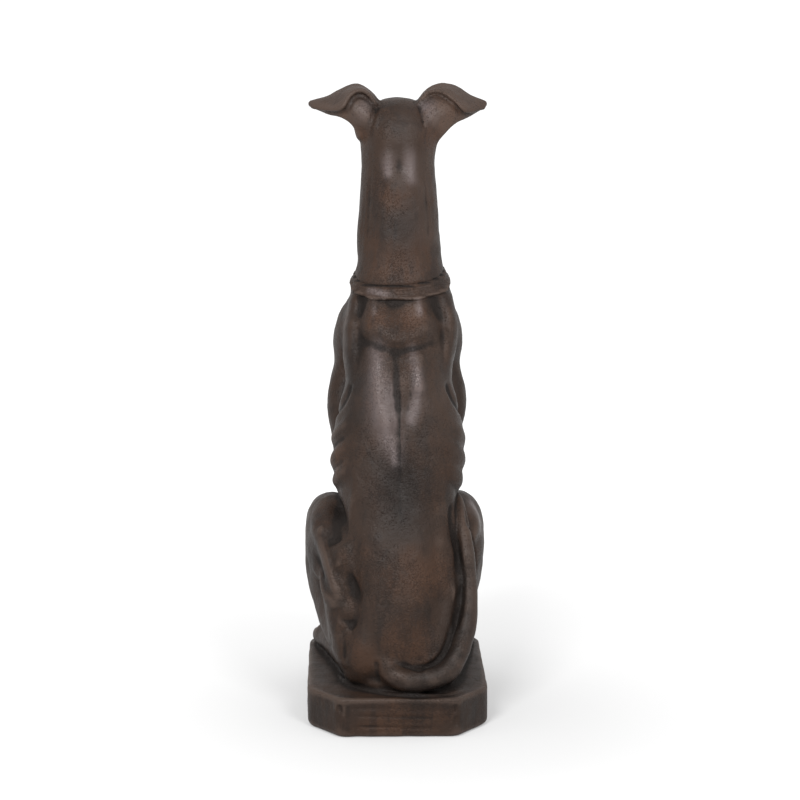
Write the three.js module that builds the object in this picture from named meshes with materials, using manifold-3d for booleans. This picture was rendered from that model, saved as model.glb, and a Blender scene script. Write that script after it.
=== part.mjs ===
// Seated greyhound for a garden, cast in iron in one piece with its collar and its plinth.
// Millimetres, +Z up. The dog faces +Y and the origin is the middle of the plinth's underside.
import * as THREE from 'three';
import { edgeTable, triTable } from 'three/addons/objects/MarchingCubes.js';
import { mergeVertices } from 'three/addons/utils/BufferGeometryUtils.js';
import Module from 'manifold-3d';

// Sizes, each of which can be set alone.
const DOG_HEIGHT = 719; // plinth top to the crest of the ears
const TAIL_THICKNESS = 27; // where the tail lies on the plinth
const EAR_THICKNESS = 7;
const COLLAR_WIDTH = 17;
const COLLAR_THICKNESS = 3.6;
const PLINTH_WIDTH = 216;
const PLINTH_DEPTH = 330;
const PLINTH_HEIGHT = 48;
const PLINTH_CORNER_ACROSS = 38; // how much of the width each cut corner takes
const PLINTH_CORNER_ALONG = 52; // how much of the depth each cut corner takes
const PLINTH_EDGE = 4; // rounding of the plinth's upper and lower edges
const FOOT_SINK = 3; // how far the figure is let into the plinth

// The figure is drawn at one height, as a pattern: its places and girths are shares of that height.
const DRAWN_HEIGHT = 719;
const DRAWN_GROUND = 48;
const SCALE = DOG_HEIGHT / DRAWN_HEIGHT;
const CLAY_STEP = 3; // spacing of the points at which the figure's shape is worked out
const FIGURE_FACES = 9300;
const FAR = 60; // distance that stands for well away from the figure

// Rows of the pattern: across, forward, up, half width, half depth, and for the trunk how much
// wider it is in front than behind.
const TRUNK = [
  [0, -106, 70, 40, 36, 0],
  [0, -98, 112, 50, 46, 0],
  [0, -84, 160, 56, 52, 0],
  [0, -66, 215, 57, 52, -0.05],
  [0, -44, 262, 64, 56, -0.1],
  [0, -16, 306, 79, 72, -0.12],
  [0, 0, 345, 74, 80, -0.15],
  [0, 12, 390, 62, 82, -0.12],
  [0, 22, 435, 57, 76, -0.1],
  [0, 29, 475, 58, 62, -0.05],
  [0, 33, 508, 56, 55, 0],
  [0, 35, 530, 52, 52, 0],
];
const NECK = [
  [0, 34, 505, 53, 53],
  [0, 35, 540, 51.5, 50.5],
  [0, 38, 580, 49.5, 48],
  [0, 44, 625, 46.5, 45],
  [0, 52, 665, 44.5, 42],
  [0, 60, 700, 41.5, 38],
];
const HEAD = [
  [0, 38, 702, 36, 32],
  [0, 62, 705, 42, 40.5],
  [0, 92, 704, 37, 37.5],
  [0, 120, 699, 28, 30.5],
  [0, 138, 696, 23, 26],
  [0, 166, 691.5, 19.5, 23.5],
  [0, 194, 687.5, 16.5, 20],
  [0, 210, 685.5, 13.5, 16],
];
const SHOULDER = [
  [40, 20, 492, 14, 26],
  [54, 38, 474, 20, 32],
  [60, 62, 444, 21, 32],
  [58, 72, 412, 17, 26],
];
const UPPER_ARM = [
  [57, 72, 428, 18, 24],
  [64, 58, 392, 20, 25],
  [67, 47, 366, 20, 23],
  [64, 46, 336, 16, 20],
];
const FOREARM = [
  [64, 50, 350, 18, 22],
  [58, 62, 300, 17, 22],
  [50, 76, 240, 14, 18],
  [43, 86, 180, 12, 14],
  [39, 92, 140, 13, 14],
  [37, 97, 108, 11.5, 12],
  [36, 104, 76, 13, 13],
];
const FORE_PAW = [
  [36, 98, 70, 14, 14],
  [36, 116, 66, 19, 17],
  [36, 134, 62, 21, 15],
];
const THIGH = [
  [58, -72, 188, 26, 42],
  [72, -28, 208, 33, 48],
  [82, 18, 222, 29, 38],
  [80, 36, 222, 23, 32],
];
const HAM = [
  [60, -66, 190, 28, 36],
  [64, -84, 150, 24, 30],
  [62, -102, 112, 18, 22],
  [60, -112, 86, 15, 18],
];
const SHANK = [
  [86, 40, 210, 20, 26],
  [85, 6, 165, 22, 34],
  [77, -48, 124, 19, 30],
  [67, -92, 94, 15, 22],
  [61, -112, 78, 14, 18],
];
const HIND_FOOT = [
  [61, -114, 72, 13, 18],
  [65, -88, 67, 13, 17],
  [73, -20, 64, 13, 16],
  [80, 50, 63, 17, 17],
  [82, 78, 62, 20, 17],
];
// Across, forward, up, and the girth as a share of the tail's thickness.
const TAIL = [
  [-16, -140, 79, 0.42],
  [-2, -149, 69, 0.47],
  [24, -150, 66, 0.5],
  [55, -142, 72, 0.5],
  [72, -127, 90, 0.5],
  [83, -111, 112, 0.48],
  [88, -95, 141, 0.42],
  [89, -82, 173, 0.36],
  [87.5, -72, 201, 0.29],
  [82.5, -62, 235, 0.22],
  [77, -46, 262, 0.14],
];
const EAR_CREST = [
  [20, 50, 732],
  [33, 57, 752],
  [50, 63, 763],
  [68, 67, 759],
  [88, 70, 748],
  [107, 71, 741],
];
const EAR_LOWER = [
  [43, 50, 690],
  [50, 44, 703],
  [57, 40, 716],
  [70, 46, 724],
  [88, 58, 729],
  [107, 71, 739],
];
const EAR_BOWL = 20;
const HEAD_SET = 5; // the neck and head lean this far to the dog's right
const TOE_SPREAD = [-15.5, -5.2, 5.2, 15.5];

// Lines carved into the clay (depth above 0) or raised on it (depth below 0).
const SPINE = [[1.4, -52, 457], [0.9, -72, 393], [1.9, -85, 334], [1.4, -107, 253]];
const ARM_CREASE = [
  [55, -4, 468],
  [61, 16, 446],
  [62, 20, 428],
  [59, -34, 410],
  [66, -36, 392],
  [72, -33, 380],
];
const HAUNCH_RIDGE = [[98, -13, 252], [93, -62, 219], [80, -95, 183], [65, -116, 145]];
const SHANK_RIDGE = [[101, -60, 196], [88, -91, 162], [69, -116, 142]];
const BROW = [[15, 122, 724], [25, 112, 723], [32, 121, 719], [32, 131, 711]];
const MOUTH = [
  [2, 224, 678],
  [8, 220, 677],
  [12, 208, 676],
  [14.5, 190, 676],
  [16, 160, 677.5],
  [20, 132, 681],
  [25, 114, 686],
];
const THIGH_HOLLOW = [[68, -30, 262], [73, -70, 232], [66, -96, 190], [62, -108, 166]];

/** A block of clay as signed distances on a regular grid, below zero inside the figure. */
class Clay {
  constructor(low, high, step) {
    this.low = low;
    this.step = step;
    this.count = low.map((v, i) => Math.ceil((high[i] - v) / step) + 1);
    this.value = new Float32Array(this.count[0] * this.count[1] * this.count[2]).fill(FAR);
    this.fresh = new Float32Array(this.value.length).fill(FAR);
  }

  /** Calls act(index, x, y, z) for each grid point in a box. */
  visit(low, high, act) {
    const [nx, ny] = this.count;
    const first = low.map((v, i) => Math.max(0, Math.floor((v - this.low[i]) / this.step)));
    const last = high.map((v, i) => Math.min(this.count[i] - 1, Math.ceil((v - this.low[i]) / this.step)));
    for (let k = first[2]; k <= last[2]; k++) {
      const z = this.low[2] + k * this.step;
      for (let j = first[1]; j <= last[1]; j++) {
        const y = this.low[1] + j * this.step;
        for (let i = first[0]; i <= last[0]; i++) {
          act((k * ny + j) * nx + i, this.low[0] + i * this.step, y, z);
        }
      }
    }
  }

  /** Joins the nearest of some masses to the clay, or cuts them away, with a soft seam. */
  work(masses, blend, cut = false) {
    const reach = blend + 2 * this.step;
    const low = [Infinity, Infinity, Infinity];
    const high = [-Infinity, -Infinity, -Infinity];
    for (const mass of masses) {
      const from = mass.low.map((v) => v - reach);
      const to = mass.high.map((v) => v + reach);
      for (let i = 0; i < 3; i++) {
        low[i] = Math.min(low[i], from[i]);
        high[i] = Math.max(high[i], to[i]);
      }
      this.visit(from, to, (at, x, y, z) => {
        const d = mass.distance(x, y, z);
        if (d < this.fresh[at]) this.fresh[at] = d;
      });
    }
    this.visit(low, high, (at) => {
      const d = cut ? -this.fresh[at] : this.fresh[at];
      const own = this.value[at];
      const near = Math.max(blend - Math.abs(own - d), 0) / blend;
      const seam = near * near * blend * 0.25;
      this.value[at] = cut ? Math.max(own, d) + seam : Math.min(own, d) - seam;
      this.fresh[at] = FAR;
    });
  }

  /** Draws a soft line: depth above zero carves a furrow and below zero raises a ridge. */
  line(path, width, depth) {
    const points = smooth(path, 4);
    const reach = 2.5 * width;
    const low = [0, 1, 2].map((i) => Math.min(...points.map((p) => p[i])) - reach);
    const high = [0, 1, 2].map((i) => Math.max(...points.map((p) => p[i])) + reach);
    const spans = points.length - 1;
    this.visit(low, high, (at, x, y, z) => {
      let best = Infinity;
      let along = 0;
      for (let i = 0; i < spans; i++) {
        const [a, b] = [points[i], points[i + 1]];
        const e = [b[0] - a[0], b[1] - a[1], b[2] - a[2]];
        const p = [x - a[0], y - a[1], z - a[2]];
        const ee = e[0] * e[0] + e[1] * e[1] + e[2] * e[2];
        const t = Math.min(1, Math.max(0, (p[0] * e[0] + p[1] * e[1] + p[2] * e[2]) / ee));
        const dd = (p[0] - e[0] * t) ** 2 + (p[1] - e[1] * t) ** 2 + (p[2] - e[2] * t) ** 2;
        if (dd < best) {
          best = dd;
          along = (i + t) / spans;
        }
      }
      const end = Math.min(1, Math.min(along, 1 - along) / 0.2);
      this.value[at] += depth * end * end * (3 - 2 * end) * Math.exp(-best / (width * width));
    });
  }

  /** Raises a strap with eased edges on all that stands between two heights. */
  band(bottom, top, thickness) {
    const [middle, half] = [(top + bottom) / 2, (top - bottom) / 2];
    this.visit([-Infinity, -Infinity, bottom], [Infinity, Infinity, top], (at, x, y, z) => {
      const t = Math.min(1, Math.abs(z - middle) / half);
      this.value[at] -= thickness * (1 - t ** 6);
    });
  }

  /** Cuts everything off below a height. */
  level(height) {
    this.visit(this.low, [Infinity, Infinity, height + 2 * this.step], (at, x, y, z) => {
      this.value[at] = Math.max(this.value[at], height - z);
    });
  }
}

/** Points of a smooth curve through rows of numbers. */
function smooth(rows, steps) {
  if (rows.length === 2) return rows;
  const out = [];
  const end = rows.length - 1;
  const before = rows[0].map((v, i) => 2 * v - rows[1][i]);
  const after = rows[end].map((v, i) => 2 * v - rows[end - 1][i]);
  const p = [before, ...rows, after];
  for (let i = 1; i <= end; i++) {
    for (let k = 0; k < steps; k++) {
      const t = k / steps;
      out.push(p[i].map((b, n) => {
        const [a, c, d] = [p[i - 1][n], p[i + 1][n], p[i + 2][n]];
        const bend = (2 * a - 5 * b + 4 * c - d) * t * t + (3 * b - a - 3 * c + d) * t * t * t;
        return 0.5 * (2 * b + (c - a) * t + bend);
      }));
    }
  }
  out.push(rows[end]);
  return out;
}

/** Distance to a rounded section or body with three half sizes and a squareness. */
function roundness(u, v, w, ru, rv, rw, square) {
  const a = Math.abs(u) / ru;
  const b = Math.abs(v) / rv;
  const c = Math.abs(w) / rw;
  const near = a * a + b * b + c * c;
  if (square === 2 || near < 0.5 || near > 1.9) {
    const size = Math.sqrt(near) + 1e-6;
    const slope = Math.sqrt((a / ru) ** 2 + (b / rv) ** 2 + (c / rw) ** 2) + 1e-9;
    return (size * (size - 1)) / slope;
  }
  const size = (a ** square + b ** square + c ** square) ** (1 / square) + 1e-6;
  const n = square - 1;
  const [pa, pb, pc] = [a ** n / ru, b ** n / rv, c ** n / rw];
  const slope = Math.sqrt(pa * pa + pb * pb + pc * pc) * size ** -n + 1e-9;
  return (size - 1) / slope;
}

/** A limb: rounded sections swept along the rows of a pattern, as one mass for each short span. */
function limb(rows, square = 2) {
  const points = smooth(rows, 3);
  const masses = [];
  for (let i = 0; i < points.length - 1; i++) {
    const [a, b] = [points[i], points[i + 1]];
    const from = new THREE.Vector3(a[0], a[1], a[2]);
    const along = new THREE.Vector3(b[0], b[1], b[2]).sub(from);
    const length = along.length();
    along.divideScalar(length);
    const across = new THREE.Vector3(1, 0, 0).addScaledVector(along, -along.x).normalize();
    const deep = new THREE.Vector3().crossVectors(along, across);
    const radius = Math.max(a[3], a[4], b[3], b[4]);
    const low = [0, 1, 2].map((n) => Math.min(a[n], b[n]) - radius);
    const high = [0, 1, 2].map((n) => Math.max(a[n], b[n]) + radius);
    const distance = (x, y, z) => {
      const [px, py, pz] = [x - from.x, y - from.y, z - from.z];
      const run = px * along.x + py * along.y + pz * along.z;
      const f = Math.min(1, Math.max(0, run / length));
      const u = px * across.x + py * across.y + pz * across.z;
      const v = px * deep.x + py * deep.y + pz * deep.z;
      let wide = a[3] + (b[3] - a[3]) * f;
      const depth = a[4] + (b[4] - a[4]) * f;
      if (a.length > 5) {
        const lean = a[5] + (b[5] - a[5]) * f;
        wide *= 1 + lean * Math.max(-1, Math.min(1, v / depth));
      }
      return roundness(u, v, run - f * length, wide, depth, Math.min(wide, depth), square);
    };
    masses.push({ low, high, distance });
  }
  return masses;
}

/** A muscle or knob: a turned ellipsoid. */
function ball(centre, radii, turn = [0, 0, 0]) {
  const euler = new THREE.Euler(...turn.map(THREE.MathUtils.degToRad), 'ZYX');
  const m = new THREE.Matrix4().makeRotationFromEuler(euler).elements;
  const reach = Math.max(...radii);
  const distance = (x, y, z) => {
    const [px, py, pz] = [x - centre[0], y - centre[1], z - centre[2]];
    const u = px * m[0] + py * m[1] + pz * m[2];
    const v = px * m[4] + py * m[5] + pz * m[6];
    const w = px * m[8] + py * m[9] + pz * m[10];
    return roundness(u, v, w, ...radii, 2);
  };
  return [{ low: centre.map((v) => v - reach), high: centre.map((v) => v + reach), distance }];
}

/** A bent leaf of even thickness between two edges, bowed backward: an ear. */
function leaf(crest, lower, half, bow) {
  const [top, under] = [smooth(crest, 3), smooth(lower, 3)];
  const across = 6;
  const grid = top.map((t, i) => {
    const s = i / (top.length - 1);
    const row = [];
    for (let j = 0; j <= across; j++) {
      const f = j / across;
      const back = (bow * (1 - s) ** 0.8 + 3) * Math.sin(Math.PI * f);
      const point = under[i].map((v, n) => v * (1 - f) + t[n] * f);
      row.push(new THREE.Vector3(point[0], point[1] - back, point[2]));
    }
    return row;
  });
  const masses = [];
  for (let i = 0; i < grid.length - 1; i++) {
    for (let j = 0; j < across; j++) {
      const [a, b, c, d] = [grid[i][j], grid[i + 1][j], grid[i + 1][j + 1], grid[i][j + 1]];
      for (const corners of [[a, b, c], [a, c, d]]) {
        const box = new THREE.Box3().setFromPoints(corners).expandByScalar(half);
        const triangle = new THREE.Triangle(...corners);
        if (triangle.getArea() < 0.01) continue;
        const [p, q] = [new THREE.Vector3(), new THREE.Vector3()];
        masses.push({
          low: box.min.toArray(),
          high: box.max.toArray(),
          distance: (x, y, z) => {
            p.set(x, y, z);
            return triangle.closestPointToPoint(p, q).distanceTo(p) - half;
          },
        });
      }
    }
  }
  return masses;
}

/** The figure's sideways lean, which grows from the loin to the neck. */
function leaned(rows) {
  return rows.map(([x, y, z, ...rest]) => {
    const rise = Math.min(1, Math.max(0, (z - 260) / 190));
    return [x + HEAD_SET * rise, y, z, ...rest];
  });
}

/** The same rows on the dog's right (side 1) or left (side -1). */
function onSide(rows, side) {
  return leaned(rows.map(([x, ...rest]) => [x * side, ...rest]));
}

function modelTrunk(clay) {
  clay.work(limb(leaned(TRUNK), 2.4), 10);
  clay.work(limb(leaned(NECK)), 8);
  for (const side of [-1, 1]) {
    clay.work(ball([side * 25 + 4, -6, 482], [25, 31, 30]), 9);
    clay.line(onSide([[27, -50, 455], [30, -68, 398], [32, -80, 350]], side), 15, -4);
  }
  clay.line(leaned(SPINE), 6, 4);
}

function modelLegs(clay) {
  for (const side of [-1, 1]) {
    clay.work(limb(onSide(SHOULDER, side)), 7);
    clay.work(limb(onSide(UPPER_ARM, side)), 6);
    clay.work(limb(onSide(FOREARM, side)), 6);
    clay.work(limb(onSide(FORE_PAW, side)), 5);
    clay.work(ball([side * 78, -6, 186], [33, 60, 78], [-12, 0, 0]), 9);
    clay.work(limb(onSide(THIGH, side)), 9);
    clay.work(limb(onSide(HAM, side)), 9);
    clay.work(limb(onSide(SHANK, side)), 8);
    clay.work(limb(onSide(HIND_FOOT, side)), 6);
    clay.work(ball([side * 38, -112, 98], [23, 24, 36]), 7);
    clay.work(ball([side * 61, -108, 142], [14, 13, 15]), 6);
    for (const spread of TOE_SPREAD) {
      const longer = Math.abs(spread) < 8 ? 5 : 0;
      const turn = [-14, 0, -spread * 0.7];
      clay.work(ball([side * 36 + spread, 146 + longer, 59], [6.6, 15, 10], turn), 3);
      clay.work(ball([side * 83 + spread * 0.93, 92 + longer, 59], [6.2, 15, 10], turn), 3);
    }
    clay.line(onSide(ARM_CREASE, side), 5, 6);
    clay.line(onSide(HAUNCH_RIDGE, side), 8, -6);
    clay.line(onSide(SHANK_RIDGE, side), 7, -4);
    clay.line(onSide(THIGH_HOLLOW, side), 7, 6);
    for (let fold = 0; fold < 4; fold++) {
      const drop = 19 * fold;
      const inner = [56 - fold, -58 - 6 * fold, 366 - drop];
      const outer = [82 - 2 * fold, -22 - 8 * fold, 338 - drop];
      clay.line(onSide([inner, [70 - fold, -46 - 6 * fold, 352 - drop], outer], side), 6, -5);
    }
  }
}

function modelHead(clay) {
  clay.work(limb(leaned(HEAD), 2.3), 12);
  for (const side of [-1, 1]) {
    clay.work(ball([HEAD_SET + side * 25, 84, 690], [16, 30, 22]), 10);
    clay.work(ball([HEAD_SET + side * 20, 110, 721], [11, 17, 9], [-15, 0, 0]), 8);
    clay.work(ball([HEAD_SET + side * 33, 123, 710], [9, 12, 7]), 5, true);
    clay.work(ball([HEAD_SET + side * 24, 121, 709.5], [8, 9, 6.4]), 1.5);
    const place = (rows) => rows.map(([x, y, z]) => [x * side + HEAD_SET, y, z]);
    clay.line(place(BROW), 4, -3);
    clay.line(place(MOUTH), 3, 3);
    clay.work(leaf(place(EAR_CREST), place(EAR_LOWER), EAR_THICKNESS / SCALE / 2, EAR_BOWL), 6);
  }
  clay.work(ball([HEAD_SET, 214, 693.5], [11.5, 8.5, 8.5]), 3);
}

function modelTail(clay) {
  const girth = TAIL_THICKNESS / SCALE;
  clay.work(limb(TAIL.map(([x, y, z, share]) => [x, y, z, share * girth, share * girth])), 3);
}

/** The surface of the clay as points and triples of point numbers. */
function skin(clay) {
  const [nx, ny, nz] = clay.count;
  const [row, layer] = [nx, nx * ny];
  const corners = [0, 1, row + 1, row, layer, layer + 1, layer + row + 1, layer + row];
  const edges = [
    [0, 0], [1, 1], [row, 0], [0, 1], [layer, 0], [layer + 1, 1], [layer + row, 0], [layer, 1],
    [0, 2], [1, 2], [row + 1, 2], [row, 2],
  ];
  const stride = [1, row, layer];
  const known = new Int32Array(clay.value.length * 3).fill(-1);
  const points = [];
  const faces = [];
  const pointOn = (at, axis) => {
    const key = at * 3 + axis;
    if (known[key] < 0) {
      const [a, b] = [clay.value[at], clay.value[at + stride[axis]]];
      const place = [at % nx, Math.floor(at / nx) % ny, Math.floor(at / layer)];
      place[axis] += Math.min(0.95, Math.max(0.05, a / (a - b)));
      known[key] = points.length;
      points.push(place.map((v, n) => clay.low[n] + v * clay.step));
    }
    return known[key];
  };
  for (let k = 0; k < nz - 1; k++) {
    for (let j = 0; j < ny - 1; j++) {
      for (let i = 0; i < nx - 1; i++) {
        const at = k * layer + j * row + i;
        let shape = 0;
        for (let c = 0; c < 8; c++) {
          if (clay.value[at + corners[c]] >= 0) shape |= 1 << c;
        }
        if (edgeTable[shape] === 0) continue;
        for (let n = shape * 16; triTable[n] >= 0; n += 3) {
          faces.push([0, 1, 2].map((m) => {
            const [offset, axis] = edges[triTable[n + m]];
            return pointOn(at + offset, axis);
          }));
        }
      }
    }
  }
  return { points, faces };
}

/** Sum of the squared distances to a set of planes, as the ten numbers of a symmetric matrix. */
function addPlane(q, n, d, weight) {
  const p = [n[0], n[1], n[2], d];
  let at = 0;
  for (let r = 0; r < 4; r++) {
    for (let c = r; c < 4; c++) q[at++] += weight * p[r] * p[c];
  }
}

function planeError(q, [x, y, z]) {
  return q[0] * x * x + q[4] * y * y + q[7] * z * z + q[9]
    + 2 * (q[1] * x * y + q[2] * x * z + q[5] * y * z + q[3] * x + q[6] * y + q[8] * z);
}

function faceNormal(a, b, c) {
  const [ux, uy, uz] = [b[0] - a[0], b[1] - a[1], b[2] - a[2]];
  const [vx, vy, vz] = [c[0] - a[0], c[1] - a[1], c[2] - a[2]];
  return [uy * vz - uz * vy, uz * vx - ux * vz, ux * vy - uy * vx];
}

/** The best place for the point that an edge shrinks to. */
function meetingPoint(q, a, b) {
  const [xx, xy, xz, xd, yy, yz, yd, zz, zd] = q;
  const det = xx * (yy * zz - yz * yz) - xy * (xy * zz - yz * xz) + xz * (xy * yz - yy * xz);
  const size = xx + yy + zz;
  const middle = a.map((v, i) => (v + b[i]) / 2);
  if (Math.abs(det) < 1e-5 * size ** 3) return middle;
  const x = -(xd * (yy * zz - yz * yz) - xy * (yd * zz - yz * zd) + xz * (yd * yz - yy * zd)) / det;
  const y = -(xx * (yd * zz - zd * yz) - xd * (xy * zz - yz * xz) + xz * (xy * zd - yd * xz)) / det;
  const z = -(xx * (yy * zd - yz * yd) - xy * (xy * zd - yd * xz) + xd * (xy * yz - yy * xz)) / det;
  const away = Math.hypot(x - middle[0], y - middle[1], z - middle[2]);
  const edge = Math.hypot(a[0] - b[0], a[1] - b[1], a[2] - b[2]);
  return away < 1.5 * edge ? [x, y, z] : middle;
}

/** A pile of numbered entries from which the cheapest is taken first. */
class Pile {
  constructor() {
    this.entries = [];
  }

  add(entry) {
    const pile = this.entries;
    let at = pile.push(entry) - 1;
    while (at > 0) {
      const up = (at - 1) >> 1;
      if (pile[up].cost <= entry.cost) break;
      pile[at] = pile[up];
      at = up;
    }
    pile[at] = entry;
  }

  take() {
    const pile = this.entries;
    const first = pile[0];
    const last = pile.pop();
    if (pile.length === 0) return first;
    let at = 0;
    for (;;) {
      let down = 2 * at + 1;
      if (down >= pile.length) break;
      if (down + 1 < pile.length && pile[down + 1].cost < pile[down].cost) down++;
      if (pile[down].cost >= last.cost) break;
      pile[at] = pile[down];
      at = down;
    }
    pile[at] = last;
    return first;
  }
}

/** Shrinks the least telling edges until only so many faces are left, keeping one closed skin. */
function lighten({ points, faces }, target) {
  const around = points.map(() => []);
  const quadrics = points.map(() => new Float64Array(10));
  const turns = new Uint32Array(points.length);
  const live = new Uint8Array(faces.length).fill(1);
  const pile = new Pile();
  let left = faces.length;
  faces.forEach((face, f) => {
    const n = faceNormal(...face.map((v) => points[v]));
    const size = Math.hypot(...n);
    const unit = n.map((v) => v / (size || 1));
    const d = -(unit[0] * points[face[0]][0] + unit[1] * points[face[0]][1] + unit[2] * points[face[0]][2]);
    for (const v of face) {
      around[v].push(f);
      addPlane(quadrics[v], unit, d, size);
    }
  });
  const neighbours = (v) => {
    const near = new Set();
    for (const f of around[v]) for (const w of faces[f]) if (w !== v) near.add(w);
    return near;
  };
  const weigh = (a, b) => {
    const q = quadrics[a].map((v, i) => v + quadrics[b][i]);
    const place = meetingPoint(q, points[a], points[b]);
    const span = Math.hypot(...points[a].map((v, i) => v - points[b][i]));
    const cost = planeError(q, place) + 0.002 * span * span;
    pile.add({ cost, a, b, place, stamp: turns[a] + turns[b] });
  };
  const folds = (v, other, place) => around[v].some((f) => {
    if (faces[f].includes(other)) return false;
    const old = faceNormal(...faces[f].map((w) => points[w]));
    const now = faceNormal(...faces[f].map((w) => (w === v ? place : points[w])));
    const dot = old[0] * now[0] + old[1] * now[1] + old[2] * now[2];
    return dot <= 0.25 * Math.hypot(...old) * Math.hypot(...now);
  });
  points.forEach((point, v) => {
    for (const w of neighbours(v)) if (v < w) weigh(v, w);
  });
  while (left > target && pile.entries.length > 0) {
    const { a, b, place, stamp } = pile.take();
    if (!around[a].length || !around[b].length || stamp !== turns[a] + turns[b]) continue;
    const nearB = neighbours(b);
    const shared = [...neighbours(a)].filter((v) => nearB.has(v));
    if (shared.length !== 2 || folds(a, b, place) || folds(b, a, place)) continue;
    for (const f of around[b]) {
      if (faces[f].includes(a)) {
        live[f] = 0;
        left--;
        for (const v of faces[f]) if (v !== b) around[v] = around[v].filter((g) => g !== f);
      } else {
        faces[f] = faces[f].map((v) => (v === b ? a : v));
        around[a].push(f);
      }
    }
    around[b] = [];
    points[a] = place;
    quadrics[b].forEach((v, i) => {
      quadrics[a][i] += v;
    });
    turns[a] += turns[b] + 1;
    for (const w of neighbours(a)) weigh(a, w);
  }
  return { points, faces: faces.filter((face, f) => live[f]) };
}

/** A skin as a geometry at the figure's real place and size. */
function figureGeometry({ points, faces }) {
  const number = new Map();
  const positions = [];
  const index = faces.flat().map((v) => {
    if (!number.has(v)) {
      number.set(v, number.size);
      const [x, y, z] = points[v];
      positions.push(x * SCALE, y * SCALE, PLINTH_HEIGHT + (z - DRAWN_GROUND) * SCALE);
    }
    return number.get(v);
  });
  const geometry = new THREE.BufferGeometry();
  geometry.setAttribute('position', new THREE.Float32BufferAttribute(positions, 3));
  geometry.setIndex(index);
  return geometry;
}

/** The plinth: a block with its four upright corners cut off and its long edges eased. */
function plinthGeometry() {
  const [w, d] = [PLINTH_WIDTH / 2 - PLINTH_EDGE, PLINTH_DEPTH / 2 - PLINTH_EDGE];
  const [cx, cy] = [PLINTH_CORNER_ACROSS, PLINTH_CORNER_ALONG];
  const outline = new THREE.Shape([
    new THREE.Vector2(w - cx, -d),
    new THREE.Vector2(w, cy - d),
    new THREE.Vector2(w, d - cy),
    new THREE.Vector2(w - cx, d),
    new THREE.Vector2(cx - w, d),
    new THREE.Vector2(-w, d - cy),
    new THREE.Vector2(-w, cy - d),
    new THREE.Vector2(cx - w, -d),
  ]);
  const block = new THREE.ExtrudeGeometry(outline, {
    depth: PLINTH_HEIGHT - 2 * PLINTH_EDGE,
    bevelEnabled: true,
    bevelThickness: PLINTH_EDGE,
    bevelSize: PLINTH_EDGE,
    bevelSegments: 3,
  });
  return block.translate(0, 0, PLINTH_EDGE);
}

const wasm = await Module();
wasm.setup();

function toSolid(geometry) {
  const bare = geometry.clone();
  bare.deleteAttribute('normal');
  bare.deleteAttribute('uv');
  const merged = mergeVertices(bare, 1e-4);
  return new wasm.Manifold(new wasm.Mesh({
    numProp: 3,
    vertProperties: new Float32Array(merged.attributes.position.array),
    triVerts: new Uint32Array(merged.index.array),
  }));
}

function toGeometry(solid) {
  const mesh = solid.getMesh();
  const geometry = new THREE.BufferGeometry();
  geometry.setAttribute('position', new THREE.BufferAttribute(mesh.vertProperties, 3));
  geometry.setIndex(new THREE.BufferAttribute(mesh.triVerts, 1));
  geometry.computeVertexNormals();
  return geometry;
}

const clay = new Clay([-124, -178, 36], [128, 232, 778], CLAY_STEP);
modelTrunk(clay);
modelLegs(clay);
modelHead(clay);
modelTail(clay);
clay.band(530 - COLLAR_WIDTH / SCALE, 530, COLLAR_THICKNESS / SCALE);
clay.level(DRAWN_GROUND - FOOT_SINK / SCALE);

const figure = toSolid(figureGeometry(lighten(skin(clay), FIGURE_FACES)));
const casting = toGeometry(toSolid(plinthGeometry()).add(figure));
const iron = new THREE.MeshStandardMaterial({ color: 0x5b4a42, roughness: 0.5, metalness: 0.6 });
const statue = new THREE.Mesh(casting, iron);
statue.name = 'greyhound_statue';

const group = new THREE.Group();
group.add(statue);

export default group;
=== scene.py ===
"""Seated greyhound for a garden, cast in iron in one piece with its collar and its plinth.

The casting is modelled as a founder's clay pattern: a block of signed distances to which limbs and muscles
are joined with soft seams, and on which folds, furrows and worn edges are then drawn. Its skin becomes one
mesh. The pattern is in millimetres from the middle of the plinth's underside, with the dog facing +Y; the
mesh and the studio are in metres.
"""

from __future__ import annotations

import logging
import math
from dataclasses import dataclass, field
from enum import Enum
from typing import Sequence, Union

import bpy
import numpy as np
from mathutils import Euler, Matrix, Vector


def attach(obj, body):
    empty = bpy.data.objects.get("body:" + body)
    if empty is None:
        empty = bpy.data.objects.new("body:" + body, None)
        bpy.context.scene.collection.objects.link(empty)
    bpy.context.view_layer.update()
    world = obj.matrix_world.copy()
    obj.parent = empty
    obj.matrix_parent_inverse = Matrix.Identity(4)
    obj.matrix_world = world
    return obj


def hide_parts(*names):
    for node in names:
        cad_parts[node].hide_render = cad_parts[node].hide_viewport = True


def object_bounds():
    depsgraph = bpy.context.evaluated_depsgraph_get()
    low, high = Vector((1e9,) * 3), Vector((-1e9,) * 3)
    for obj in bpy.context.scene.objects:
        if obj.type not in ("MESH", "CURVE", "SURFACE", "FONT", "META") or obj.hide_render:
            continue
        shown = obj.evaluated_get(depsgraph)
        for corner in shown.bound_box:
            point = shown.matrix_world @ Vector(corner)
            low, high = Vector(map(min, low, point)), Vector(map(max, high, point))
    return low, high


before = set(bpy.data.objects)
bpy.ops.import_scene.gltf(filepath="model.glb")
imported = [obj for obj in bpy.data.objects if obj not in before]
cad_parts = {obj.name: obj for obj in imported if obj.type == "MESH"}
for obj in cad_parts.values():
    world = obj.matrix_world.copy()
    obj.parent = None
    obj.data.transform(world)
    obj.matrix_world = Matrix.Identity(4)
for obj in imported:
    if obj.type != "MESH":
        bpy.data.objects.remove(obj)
CAD_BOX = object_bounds()

Point = Sequence[float]
Rows = Sequence[Sequence[float]]
Value = Union["Wire", float]

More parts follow.
